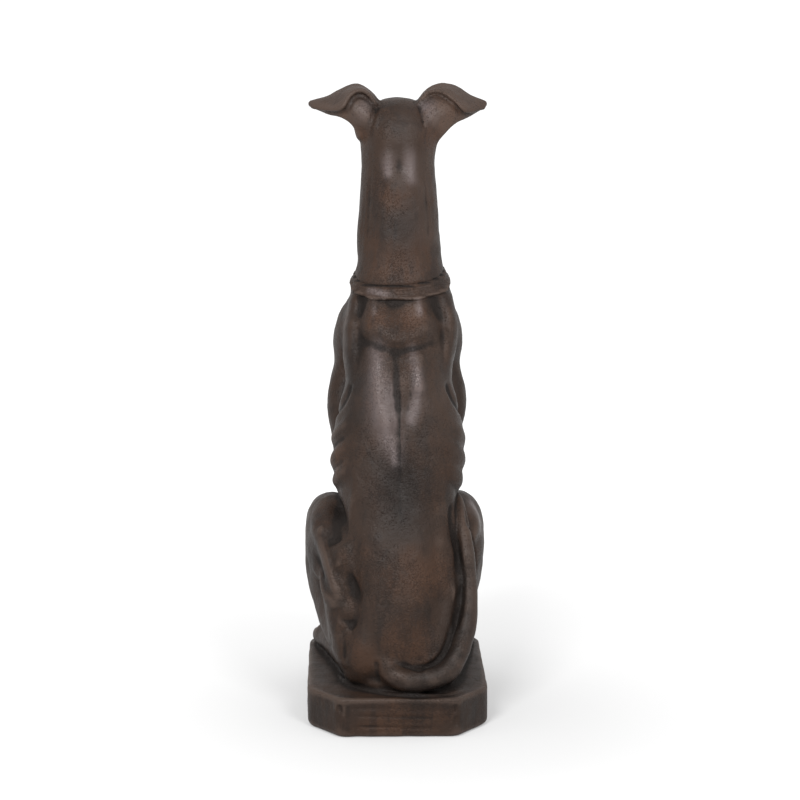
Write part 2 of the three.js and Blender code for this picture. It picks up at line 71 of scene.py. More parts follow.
MM = 0.001
GROUND = 48.0  # top of the plinth
HEAD_SET = 5.0  # the neck and head lean this far to the dog's right
LEAN_FOOT = 260.0  # the height where the lean starts
LEAN_RISE = 190.0  # the height over which it grows
log = logging.getLogger("greyhound")


class Side(Enum):
    """The two sides of the dog."""

    LEFT = -1
    RIGHT = 1


class From(Enum):
    """Where a line is drawn from: the axis it is laid along, and the way it looks along that axis."""

    BEHIND = (1, 1)
    FRONT = (1, -1)
    LEFT = (0, 1)
    RIGHT = (0, -1)
    ABOVE = (2, -1)


@dataclass(frozen=True)
class Stroke:
    """A soft line drawn on the clay as seen from one side: a cut, or a ridge if its depth is below zero."""

    path: Rows
    width: float
    depth: float
    view: From = From.BEHIND
    ends: float = 0.2

    def draw(self, clay: "Clay") -> None:
        """Draws the line."""
        clay.line(clay.lay(self.view, self.path), self.width, self.depth, self.ends)


@dataclass(frozen=True)
class Muscle:
    """A muscle or knob drawn for the right side: a turned ellipsoid, joined to the clay or cut away."""

    centre: Point
    radii: Point
    blend: float
    turn: Point = (0, 0, 0)
    cut: bool = False

    def put(self, clay: "Clay", side: Side = Side.RIGHT, shift: float = 0.0) -> None:
        """Joins it to the clay, or cuts it away.

        Args:
            clay: the clay.
            side: the side of the dog that it is put on.
            shift: how far the middle of the dog leans to its right there.
        """
        across, along, up = self.centre
        tilt, roll, swing = self.turn
        turn = (tilt, side.value * roll, side.value * swing)
        clay.ball((shift + side.value * across, along, up), self.radii, self.blend, turn, self.cut)


@dataclass(frozen=True)
class Toes:
    """The four toes of a paw and their claws; the two in the middle reach further."""

    across: float
    forward: float
    half_width: float
    claw_forward: float
    claw_half_width: float
    closeness: float = 1.0
    spreads: Sequence[float] = (-15.5, -5.2, 5.2, 15.5)
    reach: float = 5.0
    fan: float = 0.7  # degrees of turn for each millimetre from the paw's middle

    def places(self, side: Side, forward: float) -> list[tuple[float, float]]:
        """Where the toes or claws are.

        Args:
            side: the side of the dog.
            forward: how far forward the outer ones are.

        Returns:
            The place across and forward of each.
        """
        middle = side.value * self.across
        inner = min(abs(spread) for spread in self.spreads)
        found = []
        for spread in self.spreads:
            longer = self.reach if abs(spread) == inner else 0
            found.append((middle + spread * self.closeness, forward + longer))
        return found

    def shape(self, clay: "Clay", side: Side) -> None:
        """Joins the toes to the clay.

        Args:
            clay: the clay.
            side: the side of the dog.
        """
        for spread, place in zip(self.spreads, self.places(side, self.forward)):
            clay.ball((*place, 59), (self.half_width, 15, 10), 3, (-14, 0, -spread * self.fan))

    def carve(self, clay: "Clay", side: Side) -> None:
        """Joins the claws to the clay.

        Args:
            clay: the clay.
            side: the side of the dog.
        """
        for place in self.places(side, self.claw_forward):
            clay.ball((*place, 54), (self.claw_half_width, 6, 3), 1.5, (-25, 0, 0))


def smooth_rows(rows: Rows, steps: int) -> np.ndarray:
    """Points of a smooth curve through rows of numbers.

    Args:
        rows: the rows that the curve passes through.
        steps: how many points each span gets.

    Returns:
        The curve's points, one row each.
    """
    table = np.array(rows, float)
    if len(table) == 2:
        share = np.linspace(0, 1, steps + 1)[:, None]
        return table[0] * (1 - share) + table[1] * share
    padded = np.vstack([2 * table[0] - table[1], table, 2 * table[-1] - table[-2]])
    points = []
    for i in range(1, len(padded) - 2):
        a, b, c, d = padded[i - 1 : i + 3]
        for t in np.arange(steps) / steps:
            bend = (2 * a - 5 * b + 4 * c - d) * t**2 + (3 * b - a - 3 * c + d) * t**3
            points.append(0.5 * (2 * b + (c - a) * t + bend))
    points.append(padded[-2])
    return np.array(points)


def leaned(rows: Rows) -> list[list[float]]:
    """Rows moved sideways with the lean of the trunk, which grows from the loin to the neck."""
    return [[r[0] + HEAD_SET * min(1, max(0, (r[2] - LEAN_FOOT) / LEAN_RISE)), *r[1:]] for r in rows]


def on_side(rows: Rows, side: Side) -> list[list[float]]:
    """Rows drawn for the right side, put on either side of the leaning trunk."""
    return leaned([[r[0] * side.value, *r[1:]] for r in rows])


def roundness(parts: Sequence[np.ndarray], radii: Sequence[Value], square: float) -> np.ndarray:
    """Distance to a rounded section or body.

    Args:
        parts: the place along each of its axes.
        radii: its half size along each of them.
        square: 2 for an ellipse, and more for a squarer one.

    Returns:
        The signed distance, below zero inside.
    """
    shares = [np.abs(p) / r for p, r in zip(parts, radii)]
    if square == 2:
        size = np.sqrt(sum(s * s for s in shares)) + 1e-6
        slope = np.sqrt(sum((s / r) ** 2 for s, r in zip(shares, radii))) + 1e-9
        return size * (size - 1) / slope
    size = sum(s**square for s in shares) ** (1 / square) + 1e-6
    slope = np.sqrt(sum((s ** (square - 1) / r) ** 2 for s, r in zip(shares, radii)))
    return (size - 1) / (slope * size ** (1 - square) + 1e-9)


class Clay:
    """A block of clay: signed distances on a regular grid, below zero inside the figure."""

    FAR = 40.0
    LINE_REACH = 2.5  # how many of its widths a line is drawn out to
    SLIVER = 0.05  # a triangle of less than this, in square millimetres, is skipped

    def __init__(self, low: Point, high: Point, step: float) -> None:
        """Sets up an empty block.

        Args:
            low: its lowest corner, in millimetres.
            high: its highest corner.
            step: the spacing of its points.
        """
        self.low = np.array(low, np.float32)
        self.step = step
        self.margin = 3 * step
        self.count = np.ceil((np.array(high) - np.array(low)) / step).astype(int) + 1
        self.axes = [self.low[i] + step * np.arange(self.count[i], dtype=np.float32) for i in range(3)]
        self.value = np.full(tuple(self.count), self.FAR, np.float32)
        self.fresh = self.value.copy()

    def window(self, low: Point, high: Point) -> tuple[tuple[slice, ...], list[np.ndarray]]:
        """The part of the block between two corners.

        Args:
            low: the lowest corner.
            high: the highest corner.

        Returns:
            The slices of the grid, and the x, y and z of their points, shaped to combine.
        """
        cuts = []
        for i in range(3):
            first = int(np.clip(np.floor((low[i] - self.low[i]) / self.step), 0, self.count[i] - 1))
            last = int(np.clip(np.ceil((high[i] - self.low[i]) / self.step) + 1, first + 1, self.count[i]))
            cuts.append(slice(first, last))
        shapes = ((-1, 1, 1), (1, -1, 1), (1, 1, -1))
        places = [axis[cut].reshape(shape) for axis, cut, shape in zip(self.axes, cuts, shapes)]
        return tuple(cuts), places

    def press(self, low: np.ndarray, high: np.ndarray, blend: float, cut: bool = False) -> None:
        """Joins the fresh mass in a box to the clay, or cuts it away, with a soft seam.

        Args:
            low: the box's lowest corner.
            high: its highest corner.
            blend: the width of the seam.
            cut: whether the mass is cut away.
        """
        cuts, _ = self.window(low, high)
        own = self.value[cuts]
        mass = -self.fresh[cuts] if cut else self.fresh[cuts]
        near = np.maximum(blend - np.abs(own - mass), 0) / blend
        seam = near * near * blend * 0.25
        self.value[cuts] = np.maximum(own, mass) + seam if cut else np.minimum(own, mass) - seam
        self.fresh[cuts] = self.FAR

    def limb(self, rows: Rows, blend: float, square: float = 2.0, steps: int = 4) -> None:
        """Joins a limb: rounded sections swept along rows of a pattern.

        Args:
            rows: place across, forward and up, half width and depth, and perhaps how much wider its front is.
            blend: the width of its seam.
            square: the squareness of its sections.
            steps: how many straight spans stand for each curve between rows.
        """
        points = smooth_rows(rows, steps)
        reach = points[:, 3:5].max() + blend + self.margin
        for a, b in zip(points[:-1], points[1:]):
            along = b[:3] - a[:3]
            length = float(np.linalg.norm(along))
            along = along / length
            across = np.array([1.0, 0, 0]) - along * along[0]
            across /= np.linalg.norm(across)
            deep = np.cross(along, across)
            cuts, (x, y, z) = self.window(np.minimum(a, b)[:3] - reach, np.maximum(a, b)[:3] + reach)
            px, py, pz = x - a[0], y - a[1], z - a[2]
            run = px * along[0] + py * along[1] + pz * along[2]
            share = np.clip(run / length, 0, 1)
            u = px * across[0] + py * across[1] + pz * across[2]
            v = px * deep[0] + py * deep[1] + pz * deep[2]
            wide = a[3] + (b[3] - a[3]) * share
            depth = a[4] + (b[4] - a[4]) * share
            if len(a) > 5:
                wide = wide * (1 + (a[5] + (b[5] - a[5]) * share) * np.clip(v / depth, -1, 1))
            mass = roundness([u, v, run - share * length], [wide, depth, np.minimum(wide, depth)], square)
            self.fresh[cuts] = np.minimum(self.fresh[cuts], mass)
        self.press(points[:, :3].min(0) - reach, points[:, :3].max(0) + reach, blend)

    def ball(self, centre: Point, radii: Point, blend: float, turn: Point, cut: bool = False) -> None:
        """Joins or cuts a muscle or knob: a turned ellipsoid.

        Args:
            centre: its middle.
            radii: its three half sizes.
            blend: the width of its seam.
            turn: its turns about X, Y and Z, in degrees.
            cut: whether it is cut away.
        """
        matrix = np.array(Euler([math.radians(t) for t in turn], "XYZ").to_matrix())
        reach = np.full(3, max(radii) + blend + self.margin)
        cuts, (x, y, z) = self.window(np.array(centre) - reach, np.array(centre) + reach)
        px, py, pz = x - centre[0], y - centre[1], z - centre[2]
        parts = [px * matrix[0, i] + py * matrix[1, i] + pz * matrix[2, i] for i in range(3)]
        self.fresh[cuts] = roundness(parts, radii, 2)
        self.press(np.array(centre) - reach, np.array(centre) + reach, blend, cut)

    def leaf(self, points: np.ndarray, half: float, blend: float) -> None:
        """Joins a bent leaf of even thickness.

        Args:
            points: a grid of points on its middle surface, rows by columns by three.
            half: half its thickness.
            blend: the width of its seam.
        """
        reach = half + blend + self.margin
        for i in range(points.shape[0] - 1):
            for j in range(points.shape[1] - 1):
                a, b, c, d = points[i, j], points[i + 1, j], points[i + 1, j + 1], points[i, j + 1]
                for corners in ((a, b, c), (a, c, d)):
                    stack = np.array(corners)
                    if np.linalg.norm(np.cross(stack[1] - stack[0], stack[2] - stack[0])) < self.SLIVER:
                        continue
                    cuts, place = self.window(stack.min(0) - reach, stack.max(0) + reach)
                    self.fresh[cuts] = np.minimum(self.fresh[cuts], triangle_distance(place, stack) - half)
        flat = points.reshape(-1, 3)
        self.press(flat.min(0) - reach, flat.max(0) + reach, blend)

    def line(self, path: Rows, width: float, depth: float, ends: float = 0.2) -> None:
        """Draws a soft line on the clay.

        Args:
            path: the points that it passes through.
            width: how far from its middle it fades.
            depth: how deep it is cut; below zero it is a raised ridge.
            ends: the share of its length over which each end fades in.
        """
        points = smooth_rows(path, 4)
        reach = self.LINE_REACH * width
        cuts, (x, y, z) = self.window(points.min(0) - reach, points.max(0) + reach)
        best = None
        spans = len(points) - 1
        for i in range(spans):
            a, e = points[i], points[i + 1] - points[i]
            px, py, pz = x - a[0], y - a[1], z - a[2]
            t = np.clip((px * e[0] + py * e[1] + pz * e[2]) / float(e @ e), 0, 1)
            gap = (px - e[0] * t) ** 2 + (py - e[1] * t) ** 2 + (pz - e[2] * t) ** 2
            along = (i + t) / spans
            if best is None:
                best, where = gap, along
            else:
                where = np.where(gap < best, along, where)
                best = np.minimum(best, gap)
        fade = np.clip(np.minimum(where, 1 - where) / max(ends, 1e-3), 0, 1)
        self.value[cuts] += depth * fade * fade * (3 - 2 * fade) * np.exp(-best / width**2)

    def lay(self, view: From, path: Rows) -> list[list[float]]:
        """Lays points given in a view on the surface that the view meets first.

        Args:
            view: where the points are seen from.
            path: their two coordinates across that view, in X, Y, Z order.

        Returns:
            The points on the surface.
        """
        axis, way = view.value
        others = [i for i in range(3) if i != axis]
        laid = []
        for row in path:
            index: list[Union[int, slice]] = [slice(None)] * 3
            for i, v in zip(others, row):
                index[i] = int(round((v - float(self.low[i])) / self.step))
            column = self.value[tuple(index)][::way]
            first = int(np.argmax(column < 0))
            a, b = float(column[first - 1]), float(column[first])
            run = (first - b / (b - a)) * self.step
            start, end = float(self.axes[axis][0]), float(self.axes[axis][-1])
            point = [0.0, 0.0, 0.0]
            for i, v in zip(others, row):
                point[i] = v
            point[axis] = start + run if way > 0 else end - run
            laid.append(point)
        return laid

    def blurred(self, field_values: np.ndarray, cells: int, passes: int = 2) -> np.ndarray:
        """A smoothed copy of a grid of numbers.

        Args:
            field_values: the grid.
            cells: how many cells to each side are averaged.
            passes: how often.

        Returns:
            The smoothed grid.
        """
        out = field_values
        for axis in (0, 1, 2) * passes:
            pad = [(0, 0)] * 3
            pad[axis] = (cells + 1, cells)
            total = np.cumsum(np.pad(out, pad, mode="edge"), axis=axis, dtype=np.float32)
            width = 2 * cells + 1
            upper = [slice(None)] * 3
            lower = [slice(None)] * 3
            upper[axis] = slice(width, None)
            lower[axis] = slice(None, -width)
            out = (total[tuple(upper)] - total[tuple(lower)]) / width
        return out

    def soften(self) -> None:
        """Eases the small steps between the spans of the limbs."""
        out = self.value
        for axis in (0, 1, 2):
            before = np.roll(out, 1, axis)
            after = np.roll(out, -1, axis)
            out = 0.5 * out + 0.25 * (before + after)
        self.value = out

    def unevenness(self, amount: float, grain: float, seed: int) -> np.ndarray:
        """Smooth random heights over the block.

        Args:
            amount: how high they are.
            grain: the size of their swellings, in millimetres.
            seed: the number that they come from.

        Returns:
            The heights on the grid.
        """
        coarse = np.ceil(self.count * self.step / grain).astype(int) + 3
        out = np.random.default_rng(seed).uniform(-1, 1, tuple(coarse)).astype(np.float32)
        for axis in range(3):
            place = np.arange(self.count[axis], dtype=np.float32) * self.step / grain
            base = place.astype(int)
            share = place - base
            share = share * share * (3 - 2 * share)
            shape = [1, 1, 1]
            shape[axis] = -1
            share = share.reshape(shape)
            out = np.take(out, base, axis) * (1 - share) + np.take(out, base + 1, axis) * share
        return out * amount

    def sample(self, grid: np.ndarray, points: np.ndarray, step: float) -> np.ndarray:
        """The numbers of a grid at points between its own.

        Args:
            grid: the grid, with its first point at the block's lowest corner.
            points: the points, in millimetres.
            step: the grid's spacing.

        Returns:
            One number for each point.
        """
        place = (points - self.low) / step
        base = np.clip(np.floor(place).astype(int), 0, np.array(grid.shape) - 2)
        share = place - base
        total = np.zeros(len(points))
        for corner in np.ndindex(2, 2, 2):
            weight = np.prod([share[:, i] if corner[i] else 1 - share[:, i] for i in range(3)], axis=0)
            total += weight * grid[base[:, 0] + corner[0], base[:, 1] + corner[1], base[:, 2] + corner[2]]
        return total

    def skin(self) -> tuple[np.ndarray, np.ndarray]:
        """The clay's surface.

        Returns:
            Its points, in millimetres, and its four-cornered faces, facing out.
        """
        inside = self.value < 0
        full = inside.astype(np.uint8)
        total = sum(
            full[i : full.shape[0] - 1 + i, j : full.shape[1] - 1 + j, k : full.shape[2] - 1 + k]
            for i, j, k in np.ndindex(2, 2, 2)
        )
        active = (total > 0) & (total < 8)
        cells = np.argwhere(active)
        number = np.full(active.shape, -1, np.int32)
        number[active] = np.arange(len(cells))
        i, j, k = cells.T
        corner = {c: self.value[i + c[0], j + c[1], k + c[2]] for c in np.ndindex(2, 2, 2)}
        place = np.zeros((len(cells), 3))
        crossings = np.zeros(len(cells))
        for axis in range(3):
            for c in np.ndindex(2, 2, 2):
                if c[axis]:
                    continue
                far = tuple(1 if n == axis else c[n] for n in range(3))
                a, b = corner[c], corner[far]
                crossed = (a < 0) != (b < 0)
                point = np.zeros((len(cells), 3)) + np.array(c, float)
                point[:, axis] = np.where(crossed, a / np.where(crossed, a - b, 1), 0)
                place += point * crossed[:, None]
                crossings += crossed
        points = self.low + (cells + place / crossings[:, None]) * self.step
        faces = []
        for axis in range(3):
            o = [n for n in range(3) if n != axis]
            near = [slice(1, -1)] * 3
            far_side = [slice(1, -1)] * 3
            near[axis] = slice(0, -1)
            far_side[axis] = slice(1, None)
            a, b = inside[tuple(near)], inside[tuple(far_side)]
            for leaving in (True, False):
                edge = np.argwhere(a & ~b if leaving else ~a & b)
                edge = edge + np.array([0 if n == axis else 1 for n in range(3)])
                ring = []
                for back in ((1, 1), (0, 1), (0, 0), (1, 0)):
                    at = edge.copy()
                    at[:, o[0]] -= back[0]
                    at[:, o[1]] -= back[1]
                    ring.append(number[at[:, 0], at[:, 1], at[:, 2]])
                quads = np.stack(ring, 1)
                faces.append(quads if leaving != (axis == 1) else quads[:, ::-1])
        return points, np.vstack(faces)


def largest_skin(points: np.ndarray, faces: np.ndarray) -> tuple[np.ndarray, np.ndarray]:
    """The largest connected skin, without the small bubbles that are closed in between the toes.

    Args:
        points: the points of all skins.
        faces: their four-cornered faces.

    Returns:
        The points and faces of the largest one.
    """
    label = np.arange(len(points))
    while True:
        lowest = label.copy()
        np.minimum.at(lowest, faces.ravel(), np.repeat(label[faces].min(1), faces.shape[1]))
        lowest = lowest[lowest]
        if np.array_equal(lowest, label):
            break
        label = lowest
    kept = label == np.bincount(label).argmax()
    number = np.cumsum(kept) - 1
    return points[kept], number[faces[kept[faces[:, 0]]]]


def distances(points: np.ndarray, place: Point) -> np.ndarray:
    """How far each point lies from a place."""
    return np.linalg.norm(points - np.array(place), axis=1)


def triangle_distance(place: Sequence[np.ndarray], corners: np.ndarray) -> np.ndarray:
    """Distance from points to a flat triangle.

    Args:
        place: the points' x, y and z, shaped to combine.
        corners: the triangle's three corners.

    Returns:
        The distances.
    """
    normal = np.cross(corners[1] - corners[0], corners[2] - corners[0])
    within = True
    edge_gap = None
    for n in range(3):
        start, edge = corners[n], corners[(n + 1) % 3] - corners[n]
        offset = [place[i] - start[i] for i in range(3)]
        inward = np.cross(normal, edge)
        within = within & (sum(offset[i] * inward[i] for i in range(3)) >= 0)
        share = np.clip(sum(offset[i] * edge[i] for i in range(3)) / float(edge @ edge), 0, 1)
        gap = sum((offset[i] - edge[i] * share) ** 2 for i in range(3))
        edge_gap = gap if edge_gap is None else np.minimum(edge_gap, gap)
    height = sum((place[i] - corners[0][i]) * normal[i] for i in range(3)) ** 2 / float(normal @ normal)
    return np.sqrt(np.where(within, height, edge_gap))


@dataclass
class Trunk:
    """The dog's trunk and neck, with the muscles of its back."""

    trunk: Rows = (
        (0, -106, 70, 40, 36, 0),
        (0, -98, 112, 50, 46, 0),
        (0, -84, 160, 56, 52, 0),
        (0, -66, 215, 57, 52, -0.05),
        (1, -44, 262, 64, 56, -0.1),
        (2, -16, 306, 79, 72, -0.12),
        (2, 0, 345, 74, 80, -0.15),
        (1.5, 12, 390, 62, 82, -0.12),
        (2, 22, 435, 57, 76, -0.1),
        (2.5, 29, 475, 61, 62, -0.05),
        (2, 33, 505, 61, 56, 0),
        (0.5, 35, 529, 48, 48, 0),
    )
    neck: Rows = (
        (0, 34, 505, 53, 53),
        (1, 35, 540, 51.5, 50.5),
        (0, 38, 580, 51, 48),
        (0.5, 44, 625, 47.5, 45),
        (0.5, 52, 665, 44.5, 42),
        (1, 60, 700, 41, 38),
    )
    spine: Rows = ((1.4, -52, 457), (0.9, -72, 393), (1.9, -85, 334), (1.4, -107, 253))
    left_flank: Rows = (
        (-47, 14, 496, 9, 22),
        (-50, 8, 470, 13, 30),
        (-52, 0, 436, 12, 30),
        (-49, -20, 402, 8, 18),
        (-46, -36, 380, 5, 10),
    )
    right_flank: Rows = (
        (58, 14, 503, 12, 24),
        (65, 8, 476, 12, 30),
        (64, 2, 446, 11, 28),
        (58, -20, 408, 7, 16),
    )
    withers: Muscle = Muscle((25, -6, 478), (25, 31, 28), 9)
    left_muscle: Rows = ((-25, -49, 453), (-22, -66, 411), (-17, -76, 378), (-10, -81, 350))
    right_muscle: Rows = ((22, -50, 453), (27, -66, 425), (28, -73, 396))
    rib: Rows = ((54, -62, 368), (63, -54, 359), (72, -44, 350), (80, -26, 338), (85, 0, 324))
    rib_step: Point = (-1.2, -8, -26)
    ribs: int = 3
    rib_depths: Sequence[float] = (4.2, 3.4)  # on the left and on the right
    rib_width: float = 7.5
    rib_ends: float = 0.35
    gap_width: float = 6.0
    gap_share: float = 0.4  # how deep the furrows between them are cut
    strokes: Sequence[Stroke] = (
        # the back
        Stroke(((-2, 462), (-2, 430), (1, 400), (4, 372)), 6, 1.6),
        Stroke(((3.4, 408), (4.4, 357), (5.4, 310), (4, 256)), 1.8, 0.9, ends=0.06),
        Stroke(((24, 456), (21, 430), (17, 400), (12, 368)), 3.0, 1.5),
        Stroke(((-50, 456), (-36, 458), (-14, 453), (4, 450), (26, 453), (46, 458), (60, 456)), 8, 3.0),
        Stroke(((-46, 474), (-20, 470), (4, 467), (30, 470), (54, 476)), 13, -3.0),
        # the folds under the collar
        Stroke(((-43, 518), (-44, 500), (-46, 478)), 9, 4.4, ends=0.45),
        Stroke(((-28, 520), (-28, 506), (-27, 492)), 6, -2.4, ends=0.45),
        Stroke(((-16, 507), (0, 504), (17, 507)), 9, 2.4, ends=0.4),
        Stroke(((29, 522), (29, 506), (28, 488)), 6, -2.4, ends=0.45),
        Stroke(((45, 516), (49, 496), (52, 474)), 10, 3.6, ends=0.45),
        # the loins
        Stroke(((-47, 304), (-52, 275), (-55, 240), (-52, 205)), 6, -2.4, ends=0.4),
        Stroke(((50, 304), (53, 260), (53, 210), (52, 140)), 8, -2.2, ends=0.4),
        # the back of the neck
        Stroke(((-9, 706), (-8, 676), (-10, 640)), 9, -2.0, ends=0.5),
        Stroke(((17, 706), (18, 674), (20, 632)), 9, -2.0, ends=0.5),
        Stroke(((5, 696), (5, 670), (5, 640)), 6, 1.6, ends=0.5),
        Stroke(((-29, 700), (-31, 650), (-34, 590), (-36, 545)), 4, 1.6, ends=0.4),
        Stroke(((35, 700), (37, 650), (41, 590), (43, 550)), 4, 1.6, ends=0.4),
        Stroke(((-36, 660), (-38, 600), (-42, 550)), 2.6, 0.8, ends=0.4),
        Stroke(((41, 690), (44, 630), (47, 570)), 2.6, 0.9, ends=0.4),
        # the breast and throat
        Stroke(((5, 476), (5, 435), (5, 392)), 11, -4.0, From.FRONT, 0.4),
        Stroke(((12, 450), (26, 428), (33, 392)), 6, 2.6, From.FRONT, 0.4),
        Stroke(((-2, 450), (-16, 428), (-23, 392)), 6, 2.6, From.FRONT, 0.4),
        Stroke(((5, 650), (5, 590), (5, 540)), 9, -2.4, From.FRONT, 0.4),
        Stroke(((28, 655), (24, 600), (16, 540)), 6, 1.8, From.FRONT, 0.4),
        Stroke(((-18, 655), (-14, 600), (-6, 540)), 6, 1.8, From.FRONT, 0.4),
    )

    def shape(self, clay: Clay) -> None:
        """Joins the trunk and neck to the clay.

        Args:
            clay: the clay.
        """
        clay.limb(leaned(self.trunk), blend=10, square=2.4, steps=6)
        clay.limb(leaned(self.neck), blend=8, steps=6)
        for side in Side:
            self.withers.put(clay, side, HEAD_SET)
        clay.limb(self.left_flank, blend=9)
        clay.limb(self.right_flank, blend=9)
        clay.line(self.left_muscle, width=12, depth=-5)
        clay.line(self.right_muscle, width=11, depth=-5)
        clay.line(self.spine, width=5, depth=1.5)

    def carve(self, clay: Clay) -> None:
        """Draws the folds and furrows of the back and neck.

        Args:
            clay: the clay.
        """
        for stroke in self.strokes:
            stroke.draw(clay)
        for side, depth in zip(Side, self.rib_depths):
            for fold in range(2 * self.ribs):
                rows = [[v + step * fold / 2 for v, step in zip(row, self.rib_step)] for row in self.rib]
                if fold % 2 == 0:
                    clay.line(on_side(rows, side), self.rib_width, -depth, self.rib_ends)
                else:
                    clay.line(on_side(rows, side), self.gap_width, depth * self.gap_share, self.rib_ends)


@dataclass
class ForeLegs:
    """Shoulders, arms and fore paws."""

    shoulder: Rows = (
        (40, 20, 492, 14, 26),
        (54, 38, 474, 20, 32),
        (60, 62, 444, 21, 32),
        (58, 72, 412, 17, 26),
    )
    upper_arm: Rows = (
        (57, 72, 428, 18, 24),
        (64, 58, 392, 20, 25),
        (67, 47, 366, 20, 23),
        (64, 46, 336, 16, 20),
    )
    forearm: Rows = (
        (64, 50, 350, 18, 22),
        (58, 62, 300, 17, 22),
        (50, 76, 240, 14, 18),
        (43, 86, 180, 12, 14),
        (39, 92, 140, 13, 14),
        (37, 97, 108, 11.5, 12),
        (36, 104, 76, 13, 13),
    )
    paw: Rows = ((36, 98, 70, 14, 14), (36, 116, 66, 19, 17), (36, 134, 62, 21, 15))
    blade_crease: Rows = ((56, -4, 470), (61, 14, 448), (64, 30, 424), (68, 36, 404))
    elbow_crease: Rows = ((56, -34, 412), (62, -38, 396), (70, -32, 380), (77, -4, 362), (76, 22, 346))
    tendon: Rows = ((62, 330), (55, 280), (47, 225))
    wrist: Rows = ((45, 118), (38, 108), (29, 116))
    toes: Toes = Toes(36, 146, 6.6, claw_forward=160, claw_half_width=2.6)

    def shape(self, clay: Clay) -> None:
        """Joins both fore legs to the clay.

        Args:
            clay: the clay.
        """
        for side in Side:
            clay.limb(on_side(self.shoulder, side), blend=7)
            clay.limb(on_side(self.upper_arm, side), blend=6)
            clay.limb(on_side(self.forearm, side), blend=6)
            clay.limb(on_side(self.paw, side), blend=5)
            self.toes.shape(clay, side)
            clay.line(on_side(self.blade_crease, side), width=7, depth=3.5)
            clay.line(on_side(self.elbow_crease, side), width=5, depth=5)

    def carve(self, clay: Clay) -> None:
        """Draws the tendons, the wrists and the claws.

        Args:
            clay: the clay.
        """
        for side in Side:
            tendon = [(side.value * x + HEAD_SET / 2, z) for x, z in self.tendon]
            wrist = [(side.value * x, z) for x, z in self.wrist]
            clay.line(clay.lay(From.FRONT, tendon), width=5, depth=-1.6)
            clay.line(clay.lay(From.FRONT, wrist), width=4, depth=1.4)
            self.toes.carve(clay, side)


